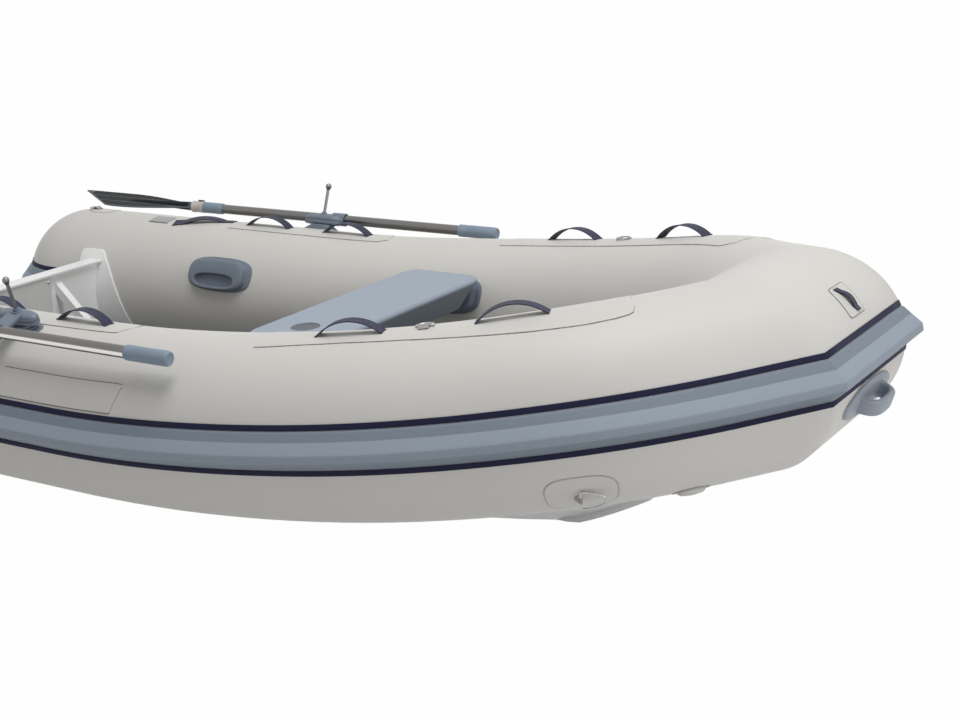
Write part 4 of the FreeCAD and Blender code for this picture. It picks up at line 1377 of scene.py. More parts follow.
@dataclass
class Thwart:
    """The pressed seat: a rounded box open below, with a shallow dish, on its moulded mounts."""

    centre: float = 0.188
    width: float = 0.236
    low: float = 0.425
    top: float = 0.487
    half: float = 0.4018
    wall: float = 0.004
    round: float = 0.014
    end_round: float = 0.0035
    well: float = 0.3599
    mount_reach: float = 0.2427
    dish: tuple[float, float] = (0.180, -0.281)
    dish_half: tuple[float, float] = (0.034, 0.044)
    corner: tuple[float, float] = (0.034, 0.062)
    rest: tuple[float, float] = (0.262, 0.346)
    dish_depth: float = 0.0026
    block: Triple = (0.130, 0.026, 0.037)
    block_place: tuple[float, float] = (0.385, 0.4555)
    colour: Triple = (0.325, 0.385, 0.46)
    pads: tuple[tuple[float, float], ...] = ((0.215, 0.0270), (-0.600, 0.0225))
    pad_angle: float = 153.0
    mount: Moulding = Moulding("mount_rubber", (0.178, 0.212, 0.262), 0.48)

    def across(self) -> Array:
        """Places across the boat, close together at the ends, at the well's walls and over the dish.

        Returns:
            The places, from starboard to port.
        """
        rim = self.half - np.array([0, 0.0004, 0.0010, 0.0020, 0.0033])
        past, short = self.well + 0.0001, self.well - 0.0001
        return np.concatenate([
            -rim, np.linspace(-0.394, -past, 6), [-short], np.linspace(-0.354, -0.336, 4),
            np.linspace(-0.330, -0.232, 50), np.linspace(-0.21, 0.35, 34), [short],
            np.linspace(past, 0.394, 6), rim[::-1]])

    def feet(self, y: Array) -> Array:
        """Heights of the walls' feet: the highest of the low edge, the mount's circle and the rest's slant.

        Args:
            y: places across the boat.

        Returns:
            The heights.
        """
        inside = FORM.half_space - np.abs(y)
        circle = FORM.height + np.sqrt(np.maximum(self.mount_reach**2 - inside**2, 0))
        slant = np.interp(np.abs(y), self.rest, (self.low, self.top - self.round))
        return np.maximum(np.maximum(self.low, circle), slant)

    def loops(self, y: Array) -> tuple[Array, Array, Array]:
        """Square-ended loops: up the aft wall, over the top, down the fore wall and back underneath.

        Args:
            y: places across the boat.

        Returns:
            x and z, places by points, and which points lie above the feet on the outside.
        """
        foot = self.feet(y)
        ceiling = np.where(np.abs(y) < self.well, self.top - self.wall, foot + 0.0001)
        a = np.linspace(0, math.pi / 2, 8)
        x0, x1, r = self.centre - self.width / 2, self.centre + self.width / 2, self.round
        aft_x, aft_z = x0 + r * (1 - np.cos(a)), self.top - r * (1 - np.sin(a))
        flat = np.linspace(x0 + r, x1 - r, 72)[1:-1]
        outer_x = np.concatenate([[x0], aft_x, flat, (x1 + x0) - aft_x[::-1], [x1]])
        outer_z = np.concatenate([[0], aft_z, np.full(len(flat), self.top), aft_z[::-1], [0]])
        inner_x = [x1 - self.wall] * 2 + [x0 + self.wall] * 2
        x = np.concatenate([outer_x, inner_x])[None] + 0 * y[:, None]
        z = np.where(outer_z[None] > 0, outer_z[None], foot[:, None])
        z = np.concatenate([z, np.stack([foot, ceiling, ceiling, foot], -1)], axis=1)
        return x, z, np.concatenate([outer_z > 0, np.zeros(4, bool)])[None]

    def ends(self, y: Array, x: Array, z: Array, upper: Array) -> tuple[Array, Array]:
        """Rounds the ends: quarter circles lower the top's edge, and elliptic corners narrow the loops.

        Args:
            y: places across the boat.
            x: the loops' x.
            z: the loops' z.
            upper: which points lie above the feet on the outside.

        Returns:
            The new x and z.
        """
        left = self.half - np.abs(y)
        drop = self.end_round * (1 - np.sqrt(1 - np.clip(1 - left / self.end_round, 0, 1)**2))
        reach, length = self.corner
        cut = drop + reach * (1 - np.sqrt(1 - 0.98 * np.clip(1 - left / length, 0, 1)**2))
        return self.centre + (x - self.centre) * (1 - cut[:, None] * 2 / self.width), z - drop[:, None] * upper

    def seat(self) -> None:
        """The seat: one loop for each place across, with a dish that is a smooth step down in an ellipse."""
        y = self.across()
        x, z, upper = self.loops(y)
        x, z = self.ends(y, x, z, upper)
        along, over = (x - self.dish[0]) / self.dish_half[0], (y[:, None] - self.dish[1]) / self.dish_half[1]
        far = np.hypot(along, over)
        z = z - self.dish_depth * smooth((1 - far) / 0.09) * (z > self.top - 0.001)
        sunk = smooth((1 - far) / 0.05) * (z > self.top - 0.006) * upper
        # painted shade: the walls below the top's edge get a darker copy of the skin's colour
        wall = smooth((self.top - 0.004 - z) / 0.008)
        spots = np.stack([x, np.broadcast_to(y[:, None], x.shape), z], -1)
        shell = Shell().grid(spots, ends=True, wrap=True, sunk=sunk, wall=wall)
        out, height = self.block_place
        for middle in (-out, out):
            shell.grid(brick((self.centre, middle, height), self.block, 0.003), ends=True, wrap=True)
        shell.finish("seat_shell", self.skin(), "seat_shell", ["seat_thwart"], sharp=30.0)

    def skin(self) -> bpy.types.Material:
        """The seat's moulded skin, darker inside the dish, with painted shade down its walls.

        Returns:
            The material.
        """
        s = Shader("seat_skin", Specular_IOR_Level=0.4)
        base = s.shades(s.noise(7.0, 3.0), self.colour, 0.96, 1.04)
        # painted shade down the walls
        base = s.mix(s.value("wall"), base, shade(self.colour, 0.38))
        s.feed("Base Color", s.mix(s.value("sunk"), base, shade(self.colour, 0.25)))
        s.rough(s.noise(120.0), 0.49, 0.1)
        s.bump(s.noise(520.0), 0.0002, 0.45)
        return s.material

    def mounts(self) -> None:
        """Stadium pads: a thin flange, a raised body and a pocket low in it under a shelf."""
        material = self.mount.build()
        for side in Side:
            shell = Shell()
            for x, top in self.pads:
                floor, lip = top - 0.0180, top - 0.0035
                rings = [
                    (0.001, 0.1, 6.0, floor), (0.040, 2.5, 6.0, floor), (0.0680, 4.3, 6.0, floor),
                    (0.0710, 4.7, 6.0, floor + 0.002), (0.0718, 4.8, 6.0, floor + 0.005),
                    (0.0723, 4.9, 6.0, lip), (0.0738, 5.2, 6.0, top - 0.0008), (0.0765, 5.8, 5.9, top),
                    (0.0860, 9.9, 2.3, top),
                    (0.0920, 11.1, 1.3, top - 0.0008), (0.0955, 11.7, 1.1, top - 0.0035),
                    (0.0970, 12.0, 1.0, top - 0.008), (0.0985, 12.2, 0.9, 0.0075), (0.1000, 12.5, 0.7, 0.0048),
                    (0.1150, 14.0, 0.0, 0.0040), (0.1170, 14.2, 0.0, 0.0032), (0.1174, 14.3, 0.0, 0.0002),
                    (0.002, 0.2, 0.0, 0.0002)]
                power = np.array([2.7] * 8 + [3.4] * 6 + [3.0] * 4)
                slide = np.array([-0.007] * 8 + [-0.003] * 2 + [0.0] * 8)[:, None]
                shell.grid(side.place(FORM.draped(x + slide, self.pad_angle, rings, power)), wrap=True)
            shell.finish(f"seat_mounts_{side.value}_moulded", material, "moulded_rubber",
                         [f"seat_mounts_{side.value}"], sharp=40.0)

    def build(self) -> None:
        """Builds the seat and its mounts."""
        self.seat()
        self.mounts()


@dataclass
class Oarlocks:
    """The oval foot, the fixed pin with its ball, and the swivel block with its clip."""

    x: float = -0.400
    angle: float = 70.0
    offset: float = 0.094
    oar_height: float = 0.050
    clip_inner: float = 0.0154
    clip_outer: float = 0.0203
    clip_half: float = 0.023
    block_half: tuple[float, float] = (0.062, 0.020)
    rubber: Moulding = Moulding("oarlock_rubber", (0.165, 0.198, 0.248), 0.45)
    block: Moulding = Moulding("swivel_plastic", (0.185, 0.225, 0.285), 0.42)
    steel: Metal = Metal("pin_steel", (0.20, 0.205, 0.22), 0.34, (200.0, 200.0, 200.0))

    def foot(self) -> Array:
        """Stepped oval rings that follow the tube, up to the round boss.

        Returns:
            Points on the starboard tube, rings by points by 3.
        """
        rings = [(0.0005, 0.1, 0, 0.0182), (0.0150, 4.0, 0, 0.0182), (0.0166, 4.4, 0, 0.0178),
                 (0.0172, 4.6, 0, 0.0172), (0.0385, 6.1, 0, 0.0168), (0.0400, 6.3, 0, 0.0150),
                 (0.0405, 6.4, 0, 0.0118), (0.0475, 7.1, 0, 0.0108), (0.0480, 7.15, 0, 0.0076),
                 (0.0545, 7.8, 0, 0.0066), (0.0550, 7.85, 0, 0.0038), (0.0615, 8.4, 0, 0.0030),
                 (0.0630, 8.6, 0, 0.0014), (0.0630, 8.6, 0, 0.0001),
                 (0.0005, 0.1, 0, 0.0001)]
        return FORM.draped(self.x, self.angle, rings, np.array([2.0] * 4 + [2.3] * 11))

    def swivel(self) -> Shell:
        """The block's rings by height, with a groove round its side, a hub, a nut, the arm and the clip.

        Returns:
            The block's shell, on the starboard side.
        """
        shell = Shell()
        levels = [(0.0186, 0.0030), (0.0196, 0.0010), (0.0215, 0.0), (0.0290, 0.0), (0.0296, 0.0018),
                  (0.0325, 0.0018), (0.0331, 0.0), (0.0370, 0.0), (0.0405, 0.0008), (0.0438, 0.0026),
                  (0.0464, 0.0056), (0.0480, 0.0096), (0.0486, 0.0150), (0.0486, 0.0190)]
        loop = superoval(np.array([[3.0]]), 128)[0]
        half = np.array(self.block_half)
        rings = np.stack([np.concatenate([loop * (half - cut), np.full((len(loop), 1), z)], axis=1)
                          for z, cut in levels])
        pull = 1 - 0.22 * smooth((np.abs(rings[..., 0]) - 0.022) / 0.040)
        rings[..., 2] = np.where(rings[..., 2] > 0.034, 0.034 + (rings[..., 2] - 0.034) * pull, rings[..., 2])
        shell.grid(self.put(rings), ends=True, wrap=True)
        shell.grid(self.put(spun([(0.0135, 0.044), (0.0135, 0.0500), (0.0128, 0.0508), (0.0070, 0.0510),
                                  (0.0005, 0.0510)])), wrap=True)
        nut = spun([(0.0092, 0.0500), (0.0092, 0.0556), (0.0084, 0.0566), (0.0005, 0.0566)], 6)
        shell.grid(self.put(nut), wrap=True)
        shell.grid(self.put(brick((0, -0.044, 0.0424), (0.046, 0.066, 0.0118), 0.003)), ends=True, wrap=True)
        low, high, end = self.clip_inner, self.clip_outer, self.clip_half
        profile = rounded([(-end, low), (end, low), (end, high), (-end, high)], 0.0012, 4)
        a = np.linspace(0, 2 * math.pi, 65)
        clip = np.stack([profile[:, :1] + 0 * a, profile[:, 1:] * np.cos(a) - self.offset,
                         profile[:, 1:] * np.sin(a) + self.oar_height], -1)
        shell.grid(self.put(clip))
        return shell

    def put(self, local: Array) -> Array:
        """Points of the pin's frame, on the starboard side."""
        return FORM.seat(self.x, self.angle).put(local)

    def build(self) -> None:
        """Builds both oarlocks."""
        rubber, block, steel = self.rubber.build(), self.block.build(), self.steel.build()
        pin = [(0.0005, 0.016), (0.0050, 0.016), (0.0050, 0.060), (0.0046, 0.064), (0.0046, 0.126),
               (0.0060, 0.1275), (0.0062, 0.1290), (0.0072, 0.1312)]
        a = np.linspace(-0.75, math.pi / 2 - 0.04, 14)
        pin += [(0.0092 * math.cos(v), 0.1375 + 0.0092 * math.sin(v)) for v in a]
        for side in Side:
            Shell().grid(side.place(self.foot()), wrap=True).finish(
                f"oarlock_foot_{side.value}", rubber, "moulded_rubber", [f"oarlock_base_{side.value}"])
            Shell().grid(side.place(self.put(spun(pin))), wrap=True, ends=True).finish(
                f"oarlock_pin_{side.value}_turned", steel, "steel", [f"oarlock_pin_{side.value}"], sharp=40.0)
            swivel = self.swivel()
            swivel.points = [side.place(p) for p in swivel.points]
            swivel.finish(f"oarlock_block_{side.value}", block, "moulded_plastic",
                          [f"oarlock_swivel_{side.value}"], f"oar_{side.value}")


@dataclass(frozen=True)
class TurnedPiece:
    """A turned piece of an oar: its node, the rest of its name, its finish and its profile of x and radius."""

    node: str
    what: str
    finish: str
    slot: str
    profile: Table
    flutes: int = 0
    depth: float = 0.0


@dataclass
class Oars:
    """The oars, each turned on the line beside its pin."""

    lock: Oarlocks = field(default_factory=Oarlocks)
    shaft: float = 0.015
    # where the painted highlight streak stands round the shaft, in degrees
    highlight_turn: float = 172.0
    grip: float = 0.0185
    grip_length: float = 0.126
    grip_end: float = 0.150
    ferrule: tuple[float, float] = (-0.9311, -0.8523)
    shaft_start: float = -0.8522
    sleeve_radius: float = 0.0190
    blade_turn: float = -27.0
    blade_tip: float = -1.500
    blade_root: float = -0.965
    blade_width: float = 0.134
    # the shaft's paler streak is a painted highlight
    tube: Metal = Metal("oar_aluminium", (0.185, 0.180, 0.175), 0.32, flash=4.2)
    plastic: Moulding = Moulding("oar_plastic", (0.245, 0.315, 0.395), 0.5)
    sleeve: Moulding = Moulding("collar_plastic", (0.60, 0.575, 0.53), 0.5)
    clasp: Moulding = Moulding("clasp_plastic", (0.05, 0.052, 0.056), 0.5)
    blade_finish: BladeFinish = BladeFinish()

    def beside_pin(self, spots: Array) -> Array:
        """Points about the oar's own line, in the frame of its pin."""
        return spots + np.array([-self.lock.x, -self.lock.offset, self.lock.oar_height])

    def turned(self, profile: Table, flutes: int = 0, depth: float = 0.0) -> Array:
        """A profile turned round the oar's line, with flutes where its radius is over the shaft's.

        The radius is cut by depth times half of one plus the cosine of flutes times the turn.

        Args:
            profile: x and radius of each ring.
            flutes: how many flutes the round has.
            depth: their depth.

        Returns:
            Points in the frame of the pin.
        """
        p = np.array(profile, float)
        a = np.linspace(0, 2 * math.pi, 6 * flutes + 1 if flutes else 73)
        cut = depth * (0.5 + 0.5 * np.cos(flutes * a)) * (p[:, 1:] > self.shaft + 0.002)
        r = p[:, 1:] - cut
        return self.beside_pin(np.stack([p[:, :1] + 0 * a, r * np.cos(a), r * np.sin(a)], -1))

    def blade(self, face: float) -> tuple[Array, Array]:
        """One face of the blade.

        Two edge lines run from the neck, out to full width and back to the slanted tip, the face between them
        carries three long channels, and the shaft's spine fades into it.

        Args:
            face: 1 for the upper face, -1 for the lower.

        Returns:
            Local points and the rib value.
        """
        s, w = np.meshgrid(np.linspace(0, 1, 120), np.linspace(-1, 1, 73), indexing="ij")
        length, half_wide = self.blade_root - self.blade_tip, self.blade_width / 2
        outer = np.interp(s, (0, 0.05, 0.10, 0.20, 0.30, 0.38, 0.46, 0.55, 0.97, 0.99, 1.0),
                          (0.24, 0.28, 0.36, 0.53, 0.70, 0.83, 0.93, 0.99, 1.0, 0.985, 0.95))
        inner = np.interp(s, (0, 0.05, 0.10, 0.20, 0.30, 0.38, 0.46, 0.54, 0.60, 0.66, 0.97, 1.0),
                          (0.24, 0.28, 0.36, 0.56, 0.74, 0.87, 0.96, 1.0, 0.99, 0.90, -0.78, -0.93))
        y = (-outer + (inner + outer) * (w + 1) / 2) * half_wide
        x = self.blade_root - s * length
        rim = np.minimum(y + outer * half_wide, inner * half_wide - y)
        rim = np.minimum(rim, (1 - s) * length * 0.6)
        bands = np.abs(((y / half_wide + 1) * 1.5) % 1 - 0.5) * 2
        channel = (smooth((0.93 - bands) / 0.05) * smooth((rim - 0.0035) / 0.0020) * smooth((s - 0.03) / 0.03)
                   * smooth((0.93 - s) / 0.03))
        half = 0.0029 * np.sqrt(np.clip(rim / 0.003, 0, 1)) + 0.0001 - channel * 0.0012
        fade = np.clip(1 - s / 0.62, 0, 1)
        girth = self.shaft * (0.28 + 0.72 * fade)
        spine = girth * np.sqrt(np.clip(1 - (y / girth) ** 2, 0, 1)) * smooth(fade * 4)
        half = np.maximum(half, np.minimum(spine, 0.024 * np.sqrt(np.clip(rim / 0.01, 0, 1))))
        c, k = math.cos(math.radians(self.blade_turn)), math.sin(math.radians(self.blade_turn))
        z = face * half
        return self.beside_pin(np.stack([x, y * c - z * k, y * k + z * c], -1)), 1 - channel

    def pieces(self) -> tuple[TurnedPiece, ...]:
        """The turned pieces of one oar.

        Returns:
            The shaft, the grip, the collar's sleeve and its ferrule.
        """
        start, end, g, c = self.grip_end - self.grip_length, self.grip_end, self.grip, self.sleeve_radius
        low, high = self.ferrule
        return (
            TurnedPiece("oar_shaft", "turned", "tube", "oar_aluminium", (
                (self.shaft_start, 0.0), (self.shaft_start, self.shaft), (start, self.shaft), (start, 0.0))),
            TurnedPiece("oar_grip", "fluted", "plastic", "moulded_plastic", (
                (start, 0), (start, g * 0.9), (start + 0.002, g * 0.99), (start + 0.006, g), (start + 0.026, g),
                (start + 0.028, g * 0.97), (start + 0.031, g * 0.97), (start + 0.033, g), (end - 0.010, g),
                (end - 0.005, g * 0.97), (end - 0.0015, g * 0.90), (end, g * 0.80),
                (end - 0.0012, g * 0.72), (end - 0.0015, 0)), flutes=20, depth=0.0003),
            TurnedPiece("oar_collar", "sleeve", "sleeve", "moulded_plastic", (
                (-0.977, 0), (-0.977, c * 0.96), (-0.9755, c), (-0.968, c), (-0.966, c * 0.95),
                (-0.942, c * 0.95), (-0.940, c), (-0.9325, c), (-0.9312, c * 0.96), (-0.9312, 0.0))),
            TurnedPiece("oar_collar", "ferrule", "plastic", "moulded_plastic", (
                (low, 0), (low, 0.0172), (low + 0.0021, 0.018), (high - 0.0097, 0.018),
                (high - 0.0022, 0.0172), (high, 0.0160), (high, 0.0))))

    def build(self) -> None:
        """Builds both oars."""
        materials = {"tube": self.tube.build(), "plastic": self.plastic.build(),
                     "sleeve": self.sleeve.build(), "clasp": self.clasp.build()}
        blade = self.blade_finish.build()
        for side in Side:
            seat = FORM.seat(self.lock.x, self.lock.angle)
            body = f"oar_{side.value}"
            for piece in self.pieces():
                spots = self.turned(piece.profile, piece.flutes, piece.depth)
                # painted highlight: a pale streak along the piece at a fixed turn round its line
                line = np.cos(np.linspace(0, 2 * math.pi, spots.shape[1]) - math.radians(self.highlight_turn))
                node = f"{piece.node}_{side.value}"
                Shell().grid(side.place(seat.put(spots)), flash=smooth((line - 0.915) / 0.06)[None]).finish(
                    f"{node}_{piece.what}", materials[piece.finish], piece.slot, [node], body, 40.0)
            clasp = self.beside_pin(brick((-0.948, 0, 0.0195), (0.022, 0.013, 0.007), 0.002))
            Shell().grid(side.place(seat.put(clasp)), ends=True, wrap=True).finish(
                f"collar_clasp_{side.value}", materials["clasp"], "moulded_plastic", (), body)
            shell = Shell()
            for face in (1.0, -1.0):
                spots, rib = self.blade(face)
                shell.grid(side.place(seat.put(spots)), rib=rib)
            shell.finish(f"oar_blade_{side.value}_moulded", blade, "blade_plastic",
                         [f"oar_blade_{side.value}"], body, 50.0)


@dataclass
class BowFittings:
    """The moulded bow handle and the two towing pads."""

    angle: float = -16.5
    loop_reach: tuple[float, float] = (0.070, 0.042)
    loop_bar: tuple[float, float] = (0.018, 0.0078)
    tow_place: tuple[float, float] = (1.115, -68.0)
    plastic: Moulding = Moulding("bow_handle_rubber", (0.325, 0.365, 0.42), 0.5)
    pad: CollarFabric = CollarFabric("tow_pad_fabric", (0.66, 0.645, 0.61), line=0.4)

    def handle(self) -> None:
        """A domed lens on the tube, and a bar with rounded edges carried along half a superellipse."""
        shell = Shell()
        rings = [(0.001, 0.1, 0.0098), (0.042, 2.8, 0.0098), (0.084, 5.8, 0.0094), (0.120, 8.4, 0.0084),
                 (0.142, 10.2, 0.0070), (0.149, 10.9, 0.0056), (0.1515, 11.15, 0.0040), (0.152, 11.2, 0.0014),
                 (0.001, 0.1, 0.0012)]
        shell.grid(FORM.bow_draped(self.angle, rings, 1.9), wrap=True)
        t = np.linspace(0, math.pi, 49)
        reach = (np.abs(np.cos(t)) ** 3.0 + np.abs(np.sin(t)) ** 3.0) ** (-1 / 3.0)
        wide, high = self.loop_reach
        path = np.stack([-np.cos(t) * reach * wide, 0 * t, np.sin(t) * reach * high + 0.001], -1)
        head = unit(np.gradient(path, axis=0))
        side = np.array([0, 1.0, 0])
        up = unit(np.cross(head, side))
        swell = 1 + 0.25 * smooth(1 - path[:, 2] / 0.020)
        w, h = self.loop_bar
        loop = rounded([(-w, -h), (w, -h), (w, h), (-w, h)], 0.0065, 7)
        spots = (path[:, None] + side * loop[None, :, :1] * swell[:, None, None]
                 + up[:, None] * loop[None, :, 1:] * swell[:, None, None])
        shell.grid(FORM.bow_seat(self.angle).put(spots), ends=True)
        shell.finish("bow_handle_moulded", self.plastic.build(), "moulded_rubber", ["bow_handle"], sharp=50.0)

    def tow_pads(self) -> None:
        """The round towing pads, whose rims grow darker outwards."""
        cloth = self.pad.build()
        rings = [(0.0005, 0.1, 0, 0.0104), (0.006, 1.6, 0, 0.0104), (0.0075, 2.0, 0, 0.0094),
                 (0.011, 2.9, 0, 0.0096), (0.016, 4.3, 0, 0.0080), (0.0190, 5.1, 0, 0.0048),
                 (0.0205, 5.5, 0, 0.0022), (0.0215, 5.8, 0, 0.0014), (0.0262, 7.0, 0, 0.0013),
                 (0.0267, 7.1, 0, 0.0001), (0.0005, 0.1, 0, 0.0001)]
        # edge darkening as on the patches: seam and painted contact shadow
        tow_seam_shade = np.array([0, 0, 0, 0, 0, 0, 0.5, 0.5, 1, 1, 0.0])[:, None]
        for side in Side:
            Shell().grid(side.place(FORM.draped(*self.tow_place, rings)), wrap=True, seam=tow_seam_shade).finish(
                f"tow_pad_{side.value}_fabric", cloth, "patch_fabric", [f"tow_pad_{side.value}"])

    def build(self) -> None:
        """Builds the bow fittings."""
        self.handle()
        self.tow_pads()


@dataclass
class TransomDress:
    """Motor pads with a grid face, rivet heads and the drain sockets."""

    face_x: float = -1.080
    back_x: float = -1.1223
    width: float = 0.330
    low: float = 0.2087
    tall: float = 0.190
    thick: float = 0.008
    pitch: float = 0.011
    groove: float = 0.0004
    screw_y: float = 0.150
    screw_z: tuple[float, float] = (0.016, 0.174)
    screw: tuple[float, float] = (0.0055, 0.0030)
    rivet: tuple[float, float] = (0.0042, 0.0022)
    rivet_z: float = 0.168
    drain_y: float = 0.245
    drain_z: float = 0.215
    plastic: Moulding = Moulding("pad_plastic", (0.74, 0.74, 0.73), 0.55)
    alloy: Metal = Metal("rivet_alloy", (0.55, 0.55, 0.55), 0.35, (90.0, 90.0, 90.0))
    socket: Moulding = Moulding("drain_plastic", (0.05, 0.055, 0.06), 0.5)

    def pad(self, inner_x: float, out: float) -> Array:
        """A plate whose face is cut by square grooves: depth is the nearer of two groove steps.

        Args:
            inner_x: the face against the transom.
            out: 1 where it faces forward, -1 where it faces aft.

        Returns:
            Rows of points from the inner rim, over the face, to the other inner rim.
        """
        y = np.linspace(-self.width / 2, self.width / 2, 151)
        z = np.linspace(0, self.tall, 87)
        yy, zz = np.meshgrid(y, z, indexing="ij")
        edge = np.minimum(self.width / 2 - np.abs(yy), np.minimum(zz, self.tall - zz))
        groove = np.minimum(np.abs((yy / self.pitch) % 1 - 0.5), np.abs((zz / self.pitch) % 1 - 0.5))
        sunk = smooth((0.16 - groove) / 0.08) * smooth((edge - 0.008) / 0.003)
        lift = self.thick - self.groove * sunk - 0.002 * smooth((0.002 - edge) / 0.002)
        return np.stack([inner_x + out * lift, yy, self.low + zz], -1)

    def studs(self, shell: Shell, spots: Array, away: Array, radius: float, height: float) -> None:
        """Adds a dome at each spot: rings whose radius is r cos t and whose height is h sin t.

        Args:
            shell: gathers the domes.
            spots: their middles.
            away: the direction that they face.
            radius: a dome's radius.
            height: its height.
        """
        a = unit(np.cross(away, np.array([0.31, 0.22, 0.93])))
        b = np.cross(away, a)
        t = np.concatenate([np.linspace(0, math.pi / 2, 5)[:-1], [math.pi / 2 - 0.01]])
        turn = np.linspace(0, 2 * math.pi, 14, endpoint=False)
        round_it = a * np.cos(turn)[:, None] + b * np.sin(turn)[:, None]
        dome = round_it * (radius * np.cos(t))[:, None, None] + away * (height * np.sin(t))[:, None, None]
        dome = np.concatenate([dome[:1] - away * 0.001, dome])
        for spot in spots:
            shell.grid(dome + spot, ends=True, wrap=True)

    def pads(self) -> None:
        """The two motor pads: a grooved face and a flat back that share their rims."""
        plastic = self.plastic.build()
        for name, inner_x, out in (("motor_pad_front", self.face_x + 0.0001, 1.0),
                                   ("motor_pad_back", self.back_x - 0.0004, -1.0)):
            face = self.pad(inner_x, out)
            rows = np.concatenate([face[:1], face, face[-1:]])
            rows = np.concatenate([rows[:, :1], rows, rows[:, -1:]], axis=1)
            rows[0, :, 0] = rows[-1, :, 0] = inner_x
            rows[:, 0, 0] = rows[:, -1, 0] = inner_x
            back = rows.copy()
            back[..., 0] = inner_x
            Shell().grid(rows).grid(back[::-1]).finish(
                name + "_moulded", plastic, "pad_plastic", [name], sharp=40.0)

    def rivets(self) -> None:
        """The rivet heads in a row on the transom's face and the screws in the pads' corners."""
        shell = Shell()
        y = np.linspace(-0.320, 0.320, 17)
        low = np.stack([np.full(17, self.face_x), y, np.full(17, self.rivet_z)], -1)
        self.studs(shell, low[np.abs(y) > 0.17], np.array([1.0, 0, 0]), *self.rivet)
        for x, out in ((self.face_x + 0.0082, 1.0), (self.back_x - 0.0086, -1.0)):
            corners = [(x, y, self.low + z) for y in (-self.screw_y, self.screw_y) for z in self.screw_z]
            self.studs(shell, np.array(corners), np.array([out, 0, 0]), *self.screw)
        shell.finish("rivet_heads", self.alloy.build(), "steel")

    def drains(self) -> None:
        """The drain sockets, stepped rings turned about a fore and aft line on both faces."""
        shell = Shell()
        for x, out in ((self.face_x, 1.0), (self.back_x - 0.0002, -1.0)):
            for y in (-self.drain_y, self.drain_y):
                ring = spun([(0.0185, 0.0), (0.0185, 0.0045), (0.0168, 0.0062), (0.0140, 0.0062),
                             (0.0130, 0.0030), (0.0090, 0.0024), (0.0080, 0.0052), (0.0005, 0.0054)])
                turned = np.stack([x + out * ring[..., 2], y + ring[..., 0], self.drain_z + ring[..., 1]], -1)
                shell.grid(turned, wrap=True, ends=True)
        shell.finish("drain_sockets", self.socket.build(), "moulded_plastic")

    def build(self) -> None:
        """Builds the pads, the rivets and the drains."""
        self.pads()
        self.rivets()
        self.drains()


@dataclass
class Valves:
    """Inflation valves on the inner faces that the seat and the near tube hide."""

    side_place: tuple[float, float] = (-0.850, 170.0)
    bow_angle: float = 178.0
    cap: Moulding = Moulding("valve_plastic", (0.16, 0.19, 0.23), 0.45)

    def build(self) -> None:
        """A flange and a stepped cap on the starboard tube and on the bow tube."""
        material = self.cap.build()
        profile = ((0.0005, 0.0105), (0.0150, 0.0105), (0.0180, 0.0098), (0.0205, 0.0080), (0.0210, 0.0052),
                   (0.0220, 0.0046), (0.0300, 0.0038), (0.0320, 0.0024), (0.0325, 0.0001), (0.0005, 0.0001))
        turn = math.degrees(1 / FORM.radius)
        shell = Shell()
        rings = [(r, r * turn, 0.0, z) for r, z in profile]
        shell.grid(FORM.draped(*self.side_place, rings), wrap=True)
        shell.grid(FORM.bow_draped(self.bow_angle, [(r, r * turn, z) for r, z in profile]), wrap=True)
        shell.finish("air_valves", material, "moulded_plastic")


@dataclass
class Dressing:
    """Finishes for the CAD nodes that stay as they are."""

    white: Coating = Coating("hull_paint", (0.96, 0.96, 0.955))
    deck: DeckCoat = DeckCoat()

    def build(self) -> None:
        """Assigns a finish to each remaining node."""
        slots = {"hull_paint": self.white.build(), "deck_paint": self.deck.build()}
        wanted = {row["node"]: row["material_slot"] for row in frame["record"]["subparts"]}
        for name, node in frame["nodes"].items():
            if node.hide_render:
                continue
            node.data.materials.clear()
            node.data.materials.append(slots[wanted[name]])
            LOG.info("%s keeps its solid", name)


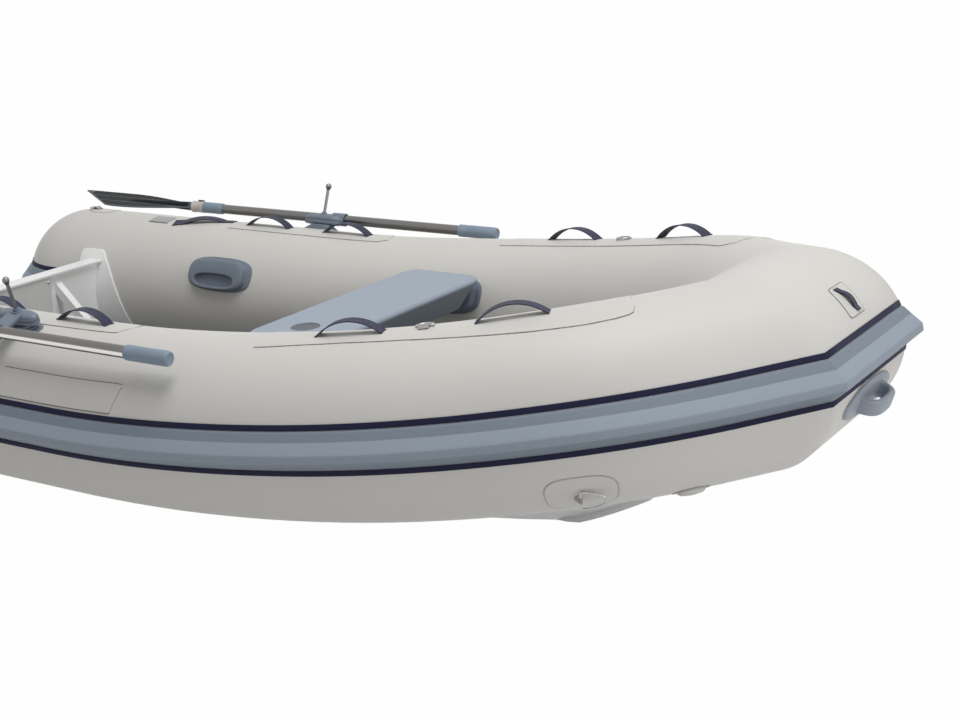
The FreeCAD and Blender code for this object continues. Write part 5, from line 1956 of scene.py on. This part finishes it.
@dataclass
class Studio:
    """Camera, lamps, world and the pale floor at the waterline."""

    place: Triple = (2.4895, -3.6649, 1.5325)
    right: Triple = (0.80151, 0.59643, -0.04303)
    forward: Triple = (-0.58754, 0.77208, -0.24227)
    lens: float = 64.328
    shift: tuple[float, float] = (0.2716, -0.04076)
    floor_size: float = 90.0
    floor_grey: float = 0.76
    floor_glow: float = 0.985
    world_strength: float = 0.25
    lamps: tuple[tuple[str, Triple, Triple, float, float], ...] = (
        ("key", (0.9, -0.5, 6.2), (0.1, 0.0, 0.3), 4.0, 212.0),
        ("fill", (5.2, -0.9, 2.3), (0.0, 0.0, 0.4), 2.5, 50.0))

    def camera(self) -> None:
        """The photograph's camera."""
        data = bpy.data.cameras.new("camera")
        data.sensor_width = 36.0
        data.lens = self.lens
        data.shift_x, data.shift_y = self.shift
        data.clip_end = 300.0
        eye = bpy.data.objects.new("camera", data)
        bpy.context.scene.collection.objects.link(eye)
        f = unit(np.array(self.forward))
        r = unit(np.array(self.right) - f * float(np.dot(self.right, f)))
        u = np.cross(r, f)
        turn = Matrix([[r[i], u[i], -f[i]] for i in range(3)]).to_4x4()
        eye.matrix_world = Matrix.Translation(Vector(self.place)) @ turn
        bpy.context.scene.camera = eye

    def seen(self, tree: bpy.types.NodeTree) -> Sock:
        """1 for camera, glossy and transmission rays, 0 for the rest.

        Args:
            tree: the node tree that asks.

        Returns:
            1 or 0, by the kind of ray.
        """
        rays = tree.nodes.new("ShaderNodeLightPath").outputs
        camera, glossy = Sock(tree, rays["Is Camera Ray"]), Sock(tree, rays["Is Glossy Ray"])
        passed = Sock(tree, rays["Is Transmission Ray"])
        return camera.maths("MAXIMUM", glossy).maths("MAXIMUM", passed)

    def world(self) -> None:
        """A plain white surround that the camera and reflections see at 1."""
        world = bpy.data.worlds.new("studio")
        world.use_nodes = True
        back = world.node_tree.nodes["Background"]
        back.inputs["Color"].default_value = (1, 1, 1, 1)
        seen = self.seen(world.node_tree)
        feed(world.node_tree, back.inputs["Strength"], seen * (1 - self.world_strength) + self.world_strength)
        bpy.context.scene.world = world

    def floor(self) -> None:
        """The floor: matt pale grey to the light, near white with a faint shadow to the camera."""
        s = Shader("floor_white", Roughness=0.9, Base_Color=(self.floor_grey,) * 3)
        glow = s.node("ShaderNodeEmission", inputs={"Color": (1, 1, 1), "Strength": 1.0}, output="Emission")
        blend = s.tree.nodes.new("ShaderNodeMixShader")
        feed(s.tree, blend.inputs[0], self.seen(s.tree) * self.floor_glow)
        s.tree.links.new(s.surface.outputs[0], blend.inputs[1])
        s.tree.links.new(glow.out, blend.inputs[2])
        out = next(n for n in s.tree.nodes if n.type == "OUTPUT_MATERIAL")
        s.tree.links.new(blend.outputs[0], out.inputs["Surface"])
        h = self.floor_size / 2
        mesh = bpy.data.meshes.new("floor")
        mesh.from_pydata([(-h, -h, 0), (h, -h, 0), (h, h, 0), (-h, h, 0)], [], [(0, 1, 2, 3)])
        mesh.materials.append(s.material)
        floor = bpy.data.objects.new("floor", mesh)
        bpy.context.scene.collection.objects.link(floor)

    def lamp(self, name: str, where: Triple, aim: Triple, size: float, power: float) -> None:
        """One soft area lamp that points at a place.

        Args:
            name: the lamp's name.
            where: its place.
            aim: the place that it points at.
            size: its diameter.
            power: its power in watts.
        """
        data = bpy.data.lights.new(name, "AREA")
        data.shape = "DISK"
        data.size = size
        data.energy = power
        lamp = bpy.data.objects.new(name, data)
        bpy.context.scene.collection.objects.link(lamp)
        lamp.location = where
        lamp.rotation_euler = (Vector(aim) - Vector(where)).to_track_quat("-Z", "Y").to_euler()

    def build(self) -> None:
        """Sets up the studio."""
        self.camera()
        self.world()
        self.floor()
        for lamp in self.lamps:
            self.lamp(*lamp)
        bpy.context.scene.view_settings.view_transform = "Standard"


def main() -> None:
    """Builds the tender round its frame and reports the pieces."""
    logging.basicConfig(level=logging.INFO, format="%(name)s: %(message)s")
    for part in (Studio(), Collar(), Patches(), Straps(), Thwart(), Oarlocks(), Oars(), BowFittings(),
                 TransomDress(), Valves(), Dressing()):
        part.build()
        LOG.info("built %s", type(part).__name__)


if __name__ == "__main__":
    main()
